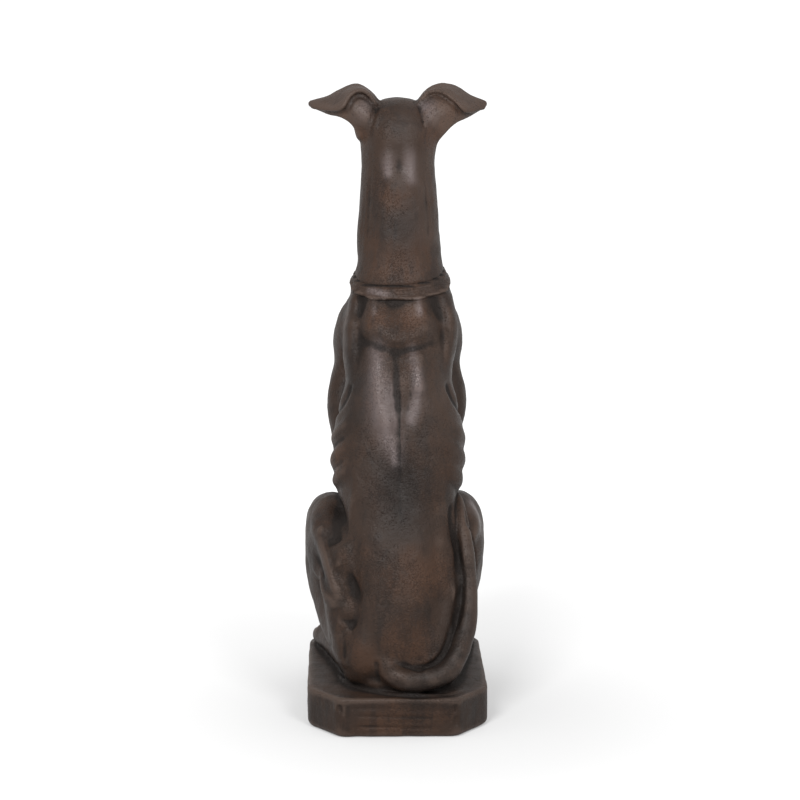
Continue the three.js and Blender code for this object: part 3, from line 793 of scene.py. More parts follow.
@dataclass
class HindLegs:
    """Haunches, shanks and hind feet, folded under the sitting dog."""

    left_haunch: Muscle = Muscle((77, -8, 191), (34.3, 60, 74), 9, (-12, 0, 0))
    right_haunch: Muscle = Muscle((77, -6, 194), (32.5, 60, 73), 9, (-12, 0, 0))
    thigh: Rows = (
        (58, -72, 188, 26, 42),
        (72, -28, 208, 33, 48),
        (82, 18, 222, 29, 38),
        (80, 36, 222, 23, 32),
    )
    ham: Rows = (
        (60, -66, 190, 28, 36),
        (64, -84, 150, 24, 30),
        (62, -102, 112, 18, 22),
        (57, -110, 86, 13, 18),
    )
    left_shank: Rows = (
        (86, 40, 210, 20, 26),
        (85, 6, 165, 22, 34),
        (77, -48, 124, 19, 30),
        (66, -92, 94, 13, 22),
        (55, -110, 78, 12, 18),
    )
    right_shank: Rows = (
        (83, 40, 210, 20, 26),
        (82, 6, 165, 22, 34),
        (74, -48, 124, 19, 30),
        (64, -92, 94, 15, 22),
        (58, -112, 78, 14, 18),
    )
    left_foot: Rows = (
        (52, -112, 72, 11, 18),
        (53, -88, 67, 12, 17),
        (64, -20, 64, 13, 16),
        (77, 50, 63, 16, 17),
        (82, 78, 62, 20, 17),
    )
    right_foot: Rows = (
        (61, -114, 72, 13, 18),
        (65, -88, 67, 13, 17),
        (73, -20, 64, 13, 16),
        (80, 50, 63, 17, 17),
        (82, 78, 62, 20, 17),
    )
    rump: Muscle = Muscle((37, -115, 92), (24, 25, 42), 7)
    left_heel: Muscle = Muscle((56, -106, 141), (10, 11, 13), 10)
    toes: Toes = Toes(83, 92, 6.2, claw_forward=106, claw_half_width=2.5, closeness=0.93)
    haunch_ridge: Rows = ((98, -13, 252), (93, -62, 219), (80, -95, 183), (65, -116, 145))
    shank_ridge: Rows = ((101, -60, 196), (88, -91, 162), (69, -116, 142))
    seat: Rows = (
        (-52, -92, 54, 9, 12),
        (-38, -111, 54, 11, 12),
        (-18, -127, 56, 12, 12),
        (10, -134, 58, 12, 12),
    )
    thigh_furrow: Rows = ((20, 240), (-15, 200), (-40, 160))
    right_filling: Rows = (
        (50, -48, 284, 12, 22),
        (55, -60, 250, 17, 24),
        (57, -74, 205, 20, 24),
        (57, -88, 160, 21, 24),
        (53, -100, 118, 22, 24),
        (44, -108, 84, 24, 24),
    )
    hollow: Rows = ((68, -30, 262), (73, -66, 236), (70, -84, 212))
    strokes: Sequence[Stroke] = (
        # the pits and tendons of the left haunch
        Stroke(((-81, 191), (-72, 196), (-62, 207)), 5.0, -2.4, ends=0.4),
        Stroke(((-60, 197), (-52, 179), (-46, 160), (-45, 146)), 6, 3.0, ends=0.45),
        Stroke(((-60, 207), (-52, 190), (-44, 168)), 3.0, -1.6, ends=0.4),
        Stroke(((-98, 262), (-91, 232), (-83, 200), (-75, 172), (-62, 146)), 5, -3.4, ends=0.3),
        Stroke(((-101, 204), (-93, 186), (-84, 170)), 5, 2.6, ends=0.4),
        Stroke(((-104, 188), (-95, 176), (-81, 158), (-66, 142)), 4.5, -2.4, ends=0.4),
        Stroke(((-84, 148), (-70, 137), (-54, 128), (-44, 134)), 6, 2.6, ends=0.45),
        Stroke(((-90, 246), (-84, 218), (-77, 192), (-68, 166)), 5, 2.2, ends=0.4),
        # the left hock
        Stroke(((-66, 128), (-65, 104), (-62, 78)), 4, 3.0),
        Stroke(((-82, 118), (-80, 96), (-74, 72)), 4, 1.8),
    )

    def shape(self, clay: Clay) -> None:
        """Joins both hind legs to the clay.

        Args:
            clay: the clay.
        """
        for side in Side:
            left = side is Side.LEFT
            haunch = self.left_haunch if left else self.right_haunch
            haunch.put(clay, side)
            clay.limb(on_side(self.thigh if left else self.thigh[1:], side), blend=9)
            if left:
                clay.limb(on_side(self.ham, side), blend=9)
            clay.limb(on_side(self.left_shank if left else self.right_shank, side), blend=8)
            clay.limb(on_side(self.left_foot if left else self.right_foot, side), blend=6)
            self.rump.put(clay, side)
            if left:
                self.left_heel.put(clay, side)
            else:
                clay.limb(self.right_filling, blend=12)
            self.toes.shape(clay, side)
            clay.line(on_side(self.haunch_ridge, side), width=8, depth=-6)
            clay.line(on_side(self.shank_ridge, side), width=7, depth=-4)
            if left:
                clay.line(on_side(self.hollow, side), width=10, depth=9)
        clay.limb(self.seat, blend=6)

    def carve(self, clay: Clay) -> None:
        """Draws the tendons and pits of the haunches, and the claws.

        Args:
            clay: the clay.
        """
        for stroke in self.strokes:
            stroke.draw(clay)
        for side in Side:
            view = From.LEFT if side is Side.LEFT else From.RIGHT
            clay.line(clay.lay(view, self.thigh_furrow), width=8, depth=1.6)
            self.toes.carve(clay, side)


@dataclass
class Head:
    """The long head with its eyes, nose, mouth and outspread ears."""

    skull: Rows = (
        (0, 46, 700, 37, 34),
        (0, 62, 705, 42, 40.5),
        (0, 92, 704, 37, 37.5),
        (0, 120, 699, 28, 30.5),
        (0, 138, 696, 23, 26),
        (0, 166, 691.5, 19.5, 23.5),
        (0, 194, 687.5, 16.5, 20),
        (0, 210, 685.5, 13.5, 16),
    )
    brow: Rows = ((15, 122, 724), (25, 112, 723), (32, 121, 719), (32, 131, 711))
    mouth: Rows = (
        (2, 224, 678),
        (8, 220, 677),
        (12, 208, 676),
        (14.5, 190, 676),
        (16, 160, 677.5),
        (20, 132, 681),
        (25, 114, 686),
    )
    cheek: Muscle = Muscle((25, 84, 690), (16, 30, 22), 10)
    brow_bone: Muscle = Muscle((20, 110, 721), (11, 17, 9), 8, (-15, 0, 0))
    socket: Muscle = Muscle((33, 123, 710), (9, 12, 7), 5, cut=True)
    eye: Muscle = Muscle((24, 121, 709.5), (8, 9, 6.4), 1.5)
    nose: Muscle = Muscle((0, 214, 693.5), (11.5, 8.5, 8.5), 3)
    nostril: Muscle = Muscle((6, 222, 694), (2.6, 5, 2.8), 1.5, (0, 0, 20), cut=True)
    nose_cleft: Rows = ((0, 222, 690), (0, 224, 684), (0, 223, 679))
    lower_lid: Rows = ((24, 129, 706), (30, 124, 703.5), (31.5, 115, 706))
    upper_lid: Rows = ((22, 131, 712), (29, 126, 714.5), (32, 116, 713))
    lip: Rows = ((9, 218, 683), (14, 205, 682), (17, 185, 682))
    jaw: Rows = ((30, 96, 676), (36, 84, 684), (38, 76, 700))
    ear_roots: Sequence[Muscle] = (
        Muscle((-38, 47, 733), (11, 9, 14), 6),
        Muscle((-41, 42, 706), (6, 7, 9), 5),
        Muscle((43, 47, 728), (10, 8, 13), 7),
    )
    left_crest: Rows = (
        (20, 50, 732),
        (33, 57, 752),
        (50, 63, 762.5),
        (67, 67, 757),
        (87, 70, 746),
        (107, 71, 740.5),
    )
    right_crest: Rows = (
        (20, 50, 732),
        (33, 57, 752),
        (51, 63, 763),
        (70, 67, 760),
        (89, 70, 748),
        (107, 71, 741),
    )
    left_lower: Rows = (
        (40, 50, 694),
        (48, 44, 706),
        (57, 40, 719),
        (70, 46, 727.5),
        (88, 58, 731.5),
        (107, 71, 739),
    )
    right_lower: Rows = (
        (40, 50, 690),
        (49, 44, 700),
        (58, 40, 711),
        (71, 46, 721.5),
        (88, 58, 728),
        (107, 71, 739),
    )
    strokes: Sequence[Stroke] = (
        # where the ears leave the skull
        Stroke(((-19, 742), (-26, 728), (-29, 714), (-31, 700)), 2.6, 3.0),
        Stroke(((-16, 736), (-22, 722), (-25, 706)), 3.0, -1.2),
        Stroke(((30, 742), (34, 726), (37, 710)), 2.6, 2.4),
        # within the turned-over tips
        Stroke(((-67, 728), (-58, 733), (-52, 744), (-44, 750), (-34, 747), (-27, 738)), 3.0, 2.4),
        Stroke(((52, 752), (64, 746), (74, 738), (82, 728)), 3.0, 1.6),
    )
    left_hem: Rows = (
        (-22, 40, 741),
        (-35, 41, 756),
        (-46, 40, 757),
        (-56, 36, 750),
        (-67, 34, 735),
        (-100, 60, 736),
    )
    right_hem: Rows = (
        (28, 43, 738),
        (40, 45, 754),
        (56, 43, 756),
        (72, 38, 747),
        (88, 39, 733),
        (110, 62, 735),
    )
    ear_half: float = 3.5
    ear_bowl: float = 20.0  # how far an ear is bowed at its root
    ear_bow: float = 3.0  # how far it is still bowed at its tip
    flap_half: float = 2.6
    flap_bow: float = 2.5

    def place(self, rows: Rows, side: Side) -> list[list[float]]:
        """Rows drawn for the right side of the head, put on either side."""
        return [[r[0] * side.value + HEAD_SET, *r[1:]] for r in rows]

    def crest(self, side: Side) -> list[list[float]]:
        """The upper edge of an ear."""
        return self.place(self.left_crest if side is Side.LEFT else self.right_crest, side)

    def ear(self, side: Side) -> np.ndarray:
        """The middle surface of an ear, bowed backward between its crest and its lower edge.

        Args:
            side: the side of the dog.

        Returns:
            A grid of points.
        """
        lower = self.left_lower if side is Side.LEFT else self.right_lower
        top = smooth_rows(self.crest(side), 3)
        under = smooth_rows(self.place(lower, side), 3)
        across = np.linspace(0, 1, 7)
        grid = np.zeros((len(top), len(across), 3))
        for i, reach in enumerate(np.linspace(0, 1, len(top))):
            for j, share in enumerate(across):
                bow = (self.ear_bowl * (1 - reach) ** 0.8 + self.ear_bow) * math.sin(math.pi * share)
                grid[i, j] = under[i] * (1 - share) + top[i] * share - np.array([0, bow, 0])
        return grid

    def flap(self, side: Side) -> np.ndarray:
        """The middle surface of the turned-over tip of an ear, which hangs from its crest.

        Args:
            side: the side of the dog.

        Returns:
            A grid of points.
        """
        top = smooth_rows([[x, y - 3, z - 1] for x, y, z in self.crest(side)], 3)
        hem = smooth_rows(self.left_hem if side is Side.LEFT else self.right_hem, 3)
        return np.stack([top, (top + hem) / 2 - np.array([0, self.flap_bow, 0]), hem], 1)

    def shape(self, clay: Clay) -> None:
        """Joins the head and ears to the clay.

        Args:
            clay: the clay.
        """
        clay.limb(leaned(self.skull), blend=22, square=2.3, steps=5)
        for side in Side:
            for muscle in (self.cheek, self.brow_bone, self.socket, self.eye):
                muscle.put(clay, side, HEAD_SET)
            clay.line(self.place(self.brow, side), width=4, depth=-3)
            clay.line(self.place(self.mouth, side), width=3, depth=3)
            clay.leaf(self.ear(side), self.ear_half, 6)
            clay.leaf(self.flap(side), self.flap_half, 2.5)
        for root in self.ear_roots:
            root.put(clay)
        self.nose.put(clay, shift=HEAD_SET)

    def carve(self, clay: Clay) -> None:
        """Draws the lids, nostrils, lips and the rims of the ears.

        Args:
            clay: the clay.
        """
        for stroke in self.strokes:
            stroke.draw(clay)
        for side in Side:
            clay.line(self.place(self.lower_lid, side), width=1.9, depth=-1.4)
            clay.line(self.place(self.upper_lid, side), width=1.9, depth=-1.6)
            self.nostril.put(clay, side, HEAD_SET)
            clay.line(self.place(self.lip, side), width=3.5, depth=-1.0)
            clay.line(self.place(self.jaw, side), width=5, depth=-1.4)
        clay.line(self.place(self.nose_cleft, Side.RIGHT), width=1.6, depth=1.4)


@dataclass
class Tail:
    """The tail, which comes from under the rump, lies round it and climbs the right haunch.

    Its rows give the place across, forward and up, and the half width as a share of the thickness.
    """

    thickness: float = 27.0
    root_rows: int = 3  # the first rows, which run softly into the rump
    rows: Rows = (
        (-15, -133, 80, 0.5),
        (0, -147, 70, 0.48),
        (24, -150, 66, 0.48),
        (55, -143, 72, 0.48),
        (72, -130, 90, 0.47),
        (81, -117, 112, 0.46),
        (86, -106, 135, 0.43),
        (87.5, -97, 160, 0.40),
        (86.5, -90, 182, 0.39),
        (84.5, -83, 205, 0.38),
        (81.5, -74, 226, 0.36),
        (78.5, -64, 243, 0.33),
        (76.5, -51, 256, 0.28),
        (76, -38, 267, 0.15),
    )
    strokes: Sequence[Stroke] = (
        Stroke(((5, 86), (15, 81), (27, 79), (39, 83), (51, 93), (60, 110), (67, 132)), 2.4, 2.8, ends=0.1),
        Stroke(((6, 91), (16, 87), (27, 85), (38, 89), (48, 98), (56, 113)), 2.6, -1.5, ends=0.3),
        Stroke(((-25, 90), (-25.5, 76), (-24, 58)), 3.0, 3.0),
        Stroke(
            ((68, 118), (74, 147), (75.5, 181), (73, 210), (69, 232), (67, 252), (69, 268)),
            4.6,
            7.0,
            ends=0.1,
        ),
        Stroke(((99, 176), (96, 200), (91.5, 222), (87, 240), (83, 258)), 2.4, 2.6, ends=0.1),
    )

    def shape(self, clay: Clay) -> None:
        """Joins the tail to the clay.

        Args:
            clay: the clay.
        """
        rows = [[*r[:3], r[3] * self.thickness, r[3] * self.thickness] for r in self.rows]
        clay.limb(rows[: self.root_rows], blend=9, steps=6)
        clay.limb(rows, blend=1.5, steps=6)

    def carve(self, clay: Clay) -> None:
        """Cuts the lines where the tail leaves the rump and thigh.

        Args:
            clay: the clay.
        """
        for stroke in self.strokes:
            stroke.draw(clay)


@dataclass
class Collar:
    """The plain collar: a strap that flares with the neck, lowest at the nape, with ridges and a rim."""

    top: float = 524.0
    bottom: float = 511.0
    behind: float = -18.0  # where its two edges are at those heights
    top_lift: Point = (0.06, 0.24)
    bottom_lift: Point = (0.03, 0.27)
    rear: float = 55.0
    front_lift: float = 0.20  # how its lower edge climbs in front of that, so that it widens to the throat
    least_height: float = 6.0
    flare: float = 3.2
    fade: float = 0.15  # the share of its height within which it falls back under its rim
    # start and end as shares of the way down, how far the band stands out, and its least half width
    bands: Rows = (
        (-0.16, 0.06, -2.2, 1.9),
        (0.06, 0.28, 0.9, 1.2),
        (0.34, 0.50, -1.1, 1.0),
        (0.58, 0.74, -1.2, 1.0),
        (0.78, 1.02, 0.8, 1.5),
        (1.00, 1.24, -1.2, 1.6),
    )

    def shares(self, clay: Clay) -> tuple[tuple[slice, ...], np.ndarray, np.ndarray]:
        """How far down the strap the clay's points lie.

        Args:
            clay: the clay.

        Returns:
            The slices of the grid round the strap, there 0 at its top edge and 1 at its rim, and its height.
        """
        cuts, (x, y, z) = clay.window((-1e3, -1e3, self.bottom - 30), (1e3, 1e3, self.top + 40))
        forward = y - self.behind
        front = self.front_lift * np.maximum(forward - self.rear, 0)
        top = self.top + self.top_lift[0] * x + self.top_lift[1] * forward
        bottom = self.bottom + self.bottom_lift[0] * x + self.bottom_lift[1] * np.minimum(forward, self.rear)
        bottom = bottom + front
        height = np.maximum(top - bottom, self.least_height)
        return cuts, (top - z) / height, height

    def shape(self, clay: Clay) -> None:
        """Raises the strap, flush with the neck at its top and standing out at its rim.

        Args:
            clay: the clay.
        """
        cuts, share, _ = self.shares(clay)
        rise = np.clip(share, 0, 1) * np.clip((1 + self.fade - share) / self.fade, 0, 1)
        clay.value[cuts] -= (self.flare * rise).astype(np.float32)

    def carve(self, clay: Clay) -> None:
        """Cuts the slit above the strap and the one under it, and raises its ridges and its rim.

        Args:
            clay: the clay.
        """
        for start, end, rise, least in self.bands:
            self.band(clay, start, end, rise, least)

    def band(self, clay: Clay, start: float, end: float, rise: float, least: float) -> None:
        """Raises a soft band round the strap, or cuts it.

        Args:
            clay: the clay.
            start: its upper edge, as a share of the way down the strap.
            end: its lower edge.
            rise: how far it stands out; below zero it is cut in.
            least: the least half width that it has where the strap is low, in millimetres.
        """
        cuts, share, height = self.shares(clay)
        half = np.maximum((end - start) / 2, least / height)
        beside = np.clip(np.abs(share - (start + end) / 2) / half, 0, 1)
        clay.value[cuts] -= (rise * (1 - beside * beside)).astype(np.float32)


@dataclass
class Plinth:
    """The low plinth with its four upright corners cut off and its edges worn round."""

    width: float = 218.5
    depth: float = 330.0
    height: float = GROUND
    shift: float = 0.8  # how far its middle lies to the dog's right
    corner_across: float = 38.0
    corner_along: float = 52.0
    corner_edge: float = 7.0
    top_edge: float = 2.8
    foot_edge: float = 7.0
    fillet: float = 6.0
    margin: float = 15.0
    lip: Rows = (
        (-72, -46, 49),
        (-62, -92, 49),
        (-46, -116, 49),
        (-28, -134, 49),
        (-8, -147, 49),
        (20, -154, 49),
        (48, -152, 49),
        (68, -142, 49),
        (84, -120, 49),
    )
    strokes: Sequence[Stroke] = (
        # the courses of the rear face
        Stroke(((-57, 27), (-20, 26), (20, 25), (56, 24)), 1.9, 1.3),
        Stroke(((-55, 14), (-10, 13), (50, 11)), 1.9, 1.5),
        Stroke(((-62, 36), (-30, 36.5), (-5, 35)), 1.9, 0.9),
        Stroke(((10, 34), (35, 33), (58, 34)), 1.9, 0.9),
        Stroke(((-30, 20), (10, 19.5), (40, 18)), 1.9, 0.8),
        # the notches at its two corners
        Stroke(((-70, 41), (-69.5, 36), (-69, 31)), 2.2, 4.0),
        Stroke(((-75, 40), (-74.5, 36), (-74, 31)), 2.6, -1.0),
        Stroke(((-65, 40), (-64.5, 34), (-64, 22)), 2.6, -1.0),
        Stroke(((68, 40), (68.5, 35), (68, 30)), 2.2, 3.0),
        Stroke(((70, 27), (69.5, 20), (70, 12)), 2.2, 3.0),
        Stroke(((64, 34), (64.5, 26), (64, 16)), 3.0, -0.8),
        # the scratches on the top
        Stroke(((-103, -40), (-96, -52), (-88, -58)), 2.2, 1.0, From.ABOVE),
        Stroke(((92, -84), (97, -80), (98, -88), (92, -90)), 2.0, 1.0, From.ABOVE),
    )

    def shape(self, clay: Clay) -> None:
        """Joins the plinth to the clay, with a small fillet round all that stands on it.

        Args:
            clay: the clay.
        """
        half = (self.width / 2, self.depth / 2)
        low = (-half[0] - self.margin, -half[1] - self.margin, -self.margin)
        high = (half[0] + self.margin, half[1] + self.margin, self.height + self.margin)
        cuts, (x, y, z) = clay.window(low, high)
        slant = math.hypot(self.corner_along, self.corner_across)
        across, along = np.abs(x - self.shift) - half[0], np.abs(y) - half[1]
        corner = (across * self.corner_along + (along + self.corner_along) * self.corner_across) / slant
        sides = self.eased(np.maximum(across, along), corner, self.corner_edge)
        edge = np.where(z > self.height / 2, self.top_edge, self.foot_edge)
        outline = sides + edge
        heights = np.abs(z - self.height / 2) - (self.height / 2 - edge) + 0 * outline
        outside = np.sqrt(np.maximum(outline, 0) ** 2 + np.maximum(heights, 0) ** 2)
        clay.fresh[cuts] = np.minimum(np.maximum(outline, heights), 0) + outside - edge
        clay.press(np.array(low), np.array(high), self.fillet)

    def carve(self, clay: Clay) -> None:
        """Draws the notches, scratches and wear of the plinth, and the lip of iron along the rump and tail.

        Args:
            clay: the clay.
        """
        clay.line(self.lip, width=2.3, depth=-3.2, ends=0.1)
        beyond = [(x, y - 4, z) for x, y, z in self.lip]
        clay.line(beyond, width=3.0, depth=1.0, ends=0.1)
        for stroke in self.strokes:
            stroke.draw(clay)

    @staticmethod
    def eased(first: np.ndarray, second: np.ndarray, reach: float) -> np.ndarray:
        """The larger of two distances, with the corner between them worn round.

        Args:
            first: one distance.
            second: the other.
            reach: how far the corner is worn.

        Returns:
            The distance.
        """
        near = np.maximum(reach - np.abs(first - second), 0) / reach
        return np.maximum(first, second) + near * near * reach * 0.25


class Wire:
    """A socket of a material's node tree that can be used in sums."""

    def __init__(self, paint: "Paint", socket: bpy.types.NodeSocket) -> None:
        """Keeps the node tree that the socket is in, and the socket."""
        self.paint = paint
        self.socket = socket

    def __add__(self, other: Value) -> "Wire":
        """This plus the other."""
        return self.paint.math("ADD", self, other)

    def __radd__(self, other: Value) -> "Wire":
        """The other plus this."""
        return self.paint.math("ADD", other, self)

    def __sub__(self, other: Value) -> "Wire":
        """This less the other."""
        return self.paint.math("SUBTRACT", self, other)

    def __rsub__(self, other: Value) -> "Wire":
        """The other less this."""
        return self.paint.math("SUBTRACT", other, self)

    def __mul__(self, other: Value) -> "Wire":
        """This times the other."""
        return self.paint.math("MULTIPLY", self, other)

    def __rmul__(self, other: Value) -> "Wire":
        """The other times this."""
        return self.paint.math("MULTIPLY", other, self)


class Paint:
    """The node tree of one material, built from words."""

    def __init__(self, name: str) -> None:
        """Starts a material with a bare shader.

        Args:
            name: the material's name.
        """
        self.material = bpy.data.materials.new(name)
        self.material.use_nodes = True
        self.tree = self.material.node_tree
        self.shader = self.tree.nodes["Principled BSDF"]

    def node(self, kind: str, settings: dict[str, object] | None = None, **sockets: object) -> bpy.types.Node:
        """Adds a node.

        Args:
            kind: its type, without the words ShaderNode.
            settings: its properties, set before its sockets.
            sockets: values or wires for its inputs, by name _ for a space, or by place after the letter n.

        Returns:
            The node.
        """
        node = self.tree.nodes.new("ShaderNode" + kind)
        for key, value in (settings or {}).items():
            if key == "stops":
                self.stops(node.color_ramp, value)
            else:
                setattr(node, key, value)
        for key, value in sockets.items():
            socket = node.inputs[int(key[1:])] if key[1:].isdigit() else node.inputs[key.replace("_", " ")]
            if isinstance(value, Wire):
                self.tree.links.new(value.socket, socket)
            else:
                socket.default_value = value
        return node

    @staticmethod
    def stops(ramp: bpy.types.ColorRamp, stops: Sequence[tuple[float, float]]) -> None:
        """Gives a ramp its stops.

        Args:
            ramp: the ramp.
            stops: the place and the grey value of each.
        """
        while len(ramp.elements) < len(stops):
            ramp.elements.new(1.0)
        for element, (place, grey) in zip(ramp.elements, stops):
            element.position = place
            element.color = (grey, grey, grey, 1)

    def math(self, operation: str, a: Value, b: Value = 0.0, clamp: bool = False) -> Wire:
        """The result of a sum on one or two values."""
        node = self.node("Math", {"operation": operation, "use_clamp": clamp}, n0=a, n1=b)
        return Wire(self, node.outputs[0])

    def stretched(self, where: Wire, factors: Point) -> Wire:
        """A place scaled by one factor along each axis."""
        return Wire(self, self.node("VectorMath", {"operation": "MULTIPLY"}, n0=where, n1=factors).outputs[0])

    def parts(self, where: Wire) -> list[Wire]:
        """The three parts of a place: across, along and up."""
        return [Wire(self, out) for out in self.node("SeparateXYZ", None, Vector=where).outputs]

    def noise(self, where: Wire, scale: float, detail: float = 4.0, rough: float = 0.55) -> Wire:
        """Cloudy noise between 0 and 1 at a scale, in clouds to the metre."""
        node = self.node("TexNoise", None, Vector=where, Scale=scale, Detail=detail, Roughness=rough)
        return Wire(self, node.outputs[0])

    def step(self, value: Wire, start: float, end: float) -> Wire:
        """A soft step.

        Args:
            value: what it goes by.
            start: the value up to which it is 0.
            end: the value from which it is 1.

        Returns:
            The step.
        """
        settings = {"interpolation_type": "SMOOTHSTEP"}
        node = self.node("MapRange", settings, Value=value, From_Min=start, From_Max=end)
        return Wire(self, node.outputs[0])

    def mix(self, share: Value, a: object, b: object) -> Wire:
        """A colour between two colours."""
        node = self.node("Mix", {"data_type": "RGBA"}, n0=share, n6=a, n7=b)
        return Wire(self, node.outputs[2])

    def attribute(self, name: str) -> Wire:
        """A number that the mesh holds for each of its points."""
        return Wire(self, self.node("Attribute", {"attribute_name": name}).outputs["Fac"])

    def feed(self, name: str, wire: Wire) -> None:
        """Links a wire to one of the shader's sockets."""
        self.tree.links.new(wire.socket, self.shader.inputs[name])


@dataclass(frozen=True)
class CastIron:
    """Dark brown waxed iron, rustier where rain gathers and worn lighter on its edges, with painted shade in
    its creases and in shaded patches, painted light in lit patches, and painted grey highlights on its rubbed
    swellings.
    """

    body: tuple[float, ...] = (0.0225, 0.0130, 0.0088, 1)
    wax: tuple[float, ...] = (0.031, 0.0222, 0.0192, 1)
    rust: tuple[float, ...] = (0.044, 0.021, 0.0115, 1)
    # soot, and also the colour of the painted shade in creases and shaded patches
    soot_and_painted_shade: tuple[float, ...] = (0.0060, 0.0043, 0.0036, 1)
    # worn iron, and also the colour of the painted light where the shading attribute is below zero
    worn: tuple[float, ...] = (0.082, 0.056, 0.044, 1)
    # the colour of the painted highlights on the rubbed swellings
    painted_highlight: tuple[float, ...] = (0.122, 0.098, 0.096, 1)
    roughness: float = 0.50
    gloss: float = 0.15
    bump_strength: float = 0.8
    bump_depth: float = 0.0016
    seam_half_width: float = 0.0010
    seam_place: float = 0.0042  # how far it lies to the dog's right
    seam_sway: float = 0.003

    def make(self) -> bpy.types.Material:
        """Builds the material.

        Returns:
            The material.
        """
        paint = Paint("waxed_cast_iron")
        where = Wire(paint, paint.node("TexCoord").outputs["Object"])
        streaks = paint.stretched(where, (1, 1, 0.12))
        courses = paint.stretched(where, (0.2, 0.2, 1))
        relief = paint.attribute("relief")
        warmth = paint.attribute("warmth")
        polish_and_painted_highlight = paint.attribute("polish_and_painted_highlight")
        painted_shading = paint.attribute("painted_shading")
        cloud = paint.noise(where, 11, 5, 0.6)
        patch = paint.noise(where, 42, 6, 0.62)
        speck = paint.noise(where, 230, 3, 0.6)
        grain = paint.noise(where, 560, 3, 0.6)
        drip = paint.noise(streaks, 90, 4, 0.6)
        course = paint.noise(courses, 110, 4, 0.6)
        across, along, up = paint.parts(where)
        rusty = paint.step(cloud * 0.55 + patch * 0.35 + warmth * 0.35, 0.40, 0.72)
        waxed = paint.step(cloud * -0.5 + drip * 0.6 + 0.45, 0.40, 0.66)
        # greyer towards the top, browner towards the bottom
        waxed = waxed * (0.2 + 0.8 * paint.step(up, 0.20, 0.48))
        smudged = paint.step(paint.noise(where, 23, 5, 0.65) * 0.5 + drip * 0.5, 0.47, 0.60)
        # painted shade in the creases and hollows, where the relief is low
        dark = paint.step(patch * 0.5 - relief * 0.85, 0.40, 1.25)
        bare = paint.step(relief * 0.8 + speck * 0.5, 0.85, 1.8)
        pits = paint.step(paint.noise(where, 520, 3, 0.6) * 0.7 + cloud * 0.7, 0.74, 0.82)
        flecks = paint.step(paint.noise(where, 380, 2, 0.5), 0.66, 0.76)
        colour = paint.mix(rusty * 0.8, self.body, self.rust)
        colour = paint.mix(waxed * 0.45, colour, self.wax)
        colour = paint.mix(smudged * 0.42, colour, self.soot_and_painted_shade)
        # painted shade where the shading attribute is above zero, painted light where it is below
        colour = paint.mix(paint.math("MAXIMUM", painted_shading, 0.0), colour, self.soot_and_painted_shade)
        colour = paint.mix(paint.math("MAXIMUM", painted_shading * -0.5, 0.0), colour, self.worn)
        colour = paint.mix(bare * 0.35, colour, self.worn)
        # painted highlight on the rubbed swellings
        colour = paint.mix(polish_and_painted_highlight * (0.1 + drip * 0.9), colour, self.painted_highlight)
        # painted shade in the creases and hollows
        colour = paint.mix(dark * 0.85, colour, self.soot_and_painted_shade)
        colour = paint.mix(self.seam(across, along, up, patch) * 0.8, colour, self.soot_and_painted_shade)
        colour = paint.mix(pits * 0.30, colour, self.soot_and_painted_shade)
        colour = paint.mix(flecks * 0.20, colour, self.worn)
        paint.feed("Base Color", colour)
        roughness = self.roughness + (patch - 0.5) * 0.3 + dark * 0.2 - polish_and_painted_highlight * (0.10 + drip * 0.22)
        paint.feed("Roughness", roughness)
        paint.shader.inputs["Specular IOR Level"].default_value = self.gloss
        height = patch * 1.0 + speck * 0.45 + grain * 0.22 - pits * 0.3 + course * 0.25
        bump = paint.node("Bump", None, Strength=self.bump_strength, Distance=self.bump_depth, Height=height)
        paint.feed("Normal", Wire(paint, bump.outputs[0]))
        return paint.material

    def seam(self, across: Wire, along: Wire, up: Wire, patch: Wire) -> Wire:
        """The fine dark seam down the middle of the back.

        Args:
            across: the place across the casting, in metres.
            along: the place along it.
            up: the height.
            patch: the noise that makes the seam waver.

        Returns:
            How dark it is.
        """
        paint = across.paint
        middle = self.seam_place + (patch - 0.5) * self.seam_sway
        beside = paint.math("ABSOLUTE", across - middle)
        narrow = 1 - paint.step(beside, 0.0001, self.seam_half_width)
        long = paint.step(up, 0.254, 0.262) * (1 - paint.step(up, 0.385, 0.42))
        return narrow * long * (1 - paint.step(along, -0.03, 0.0))


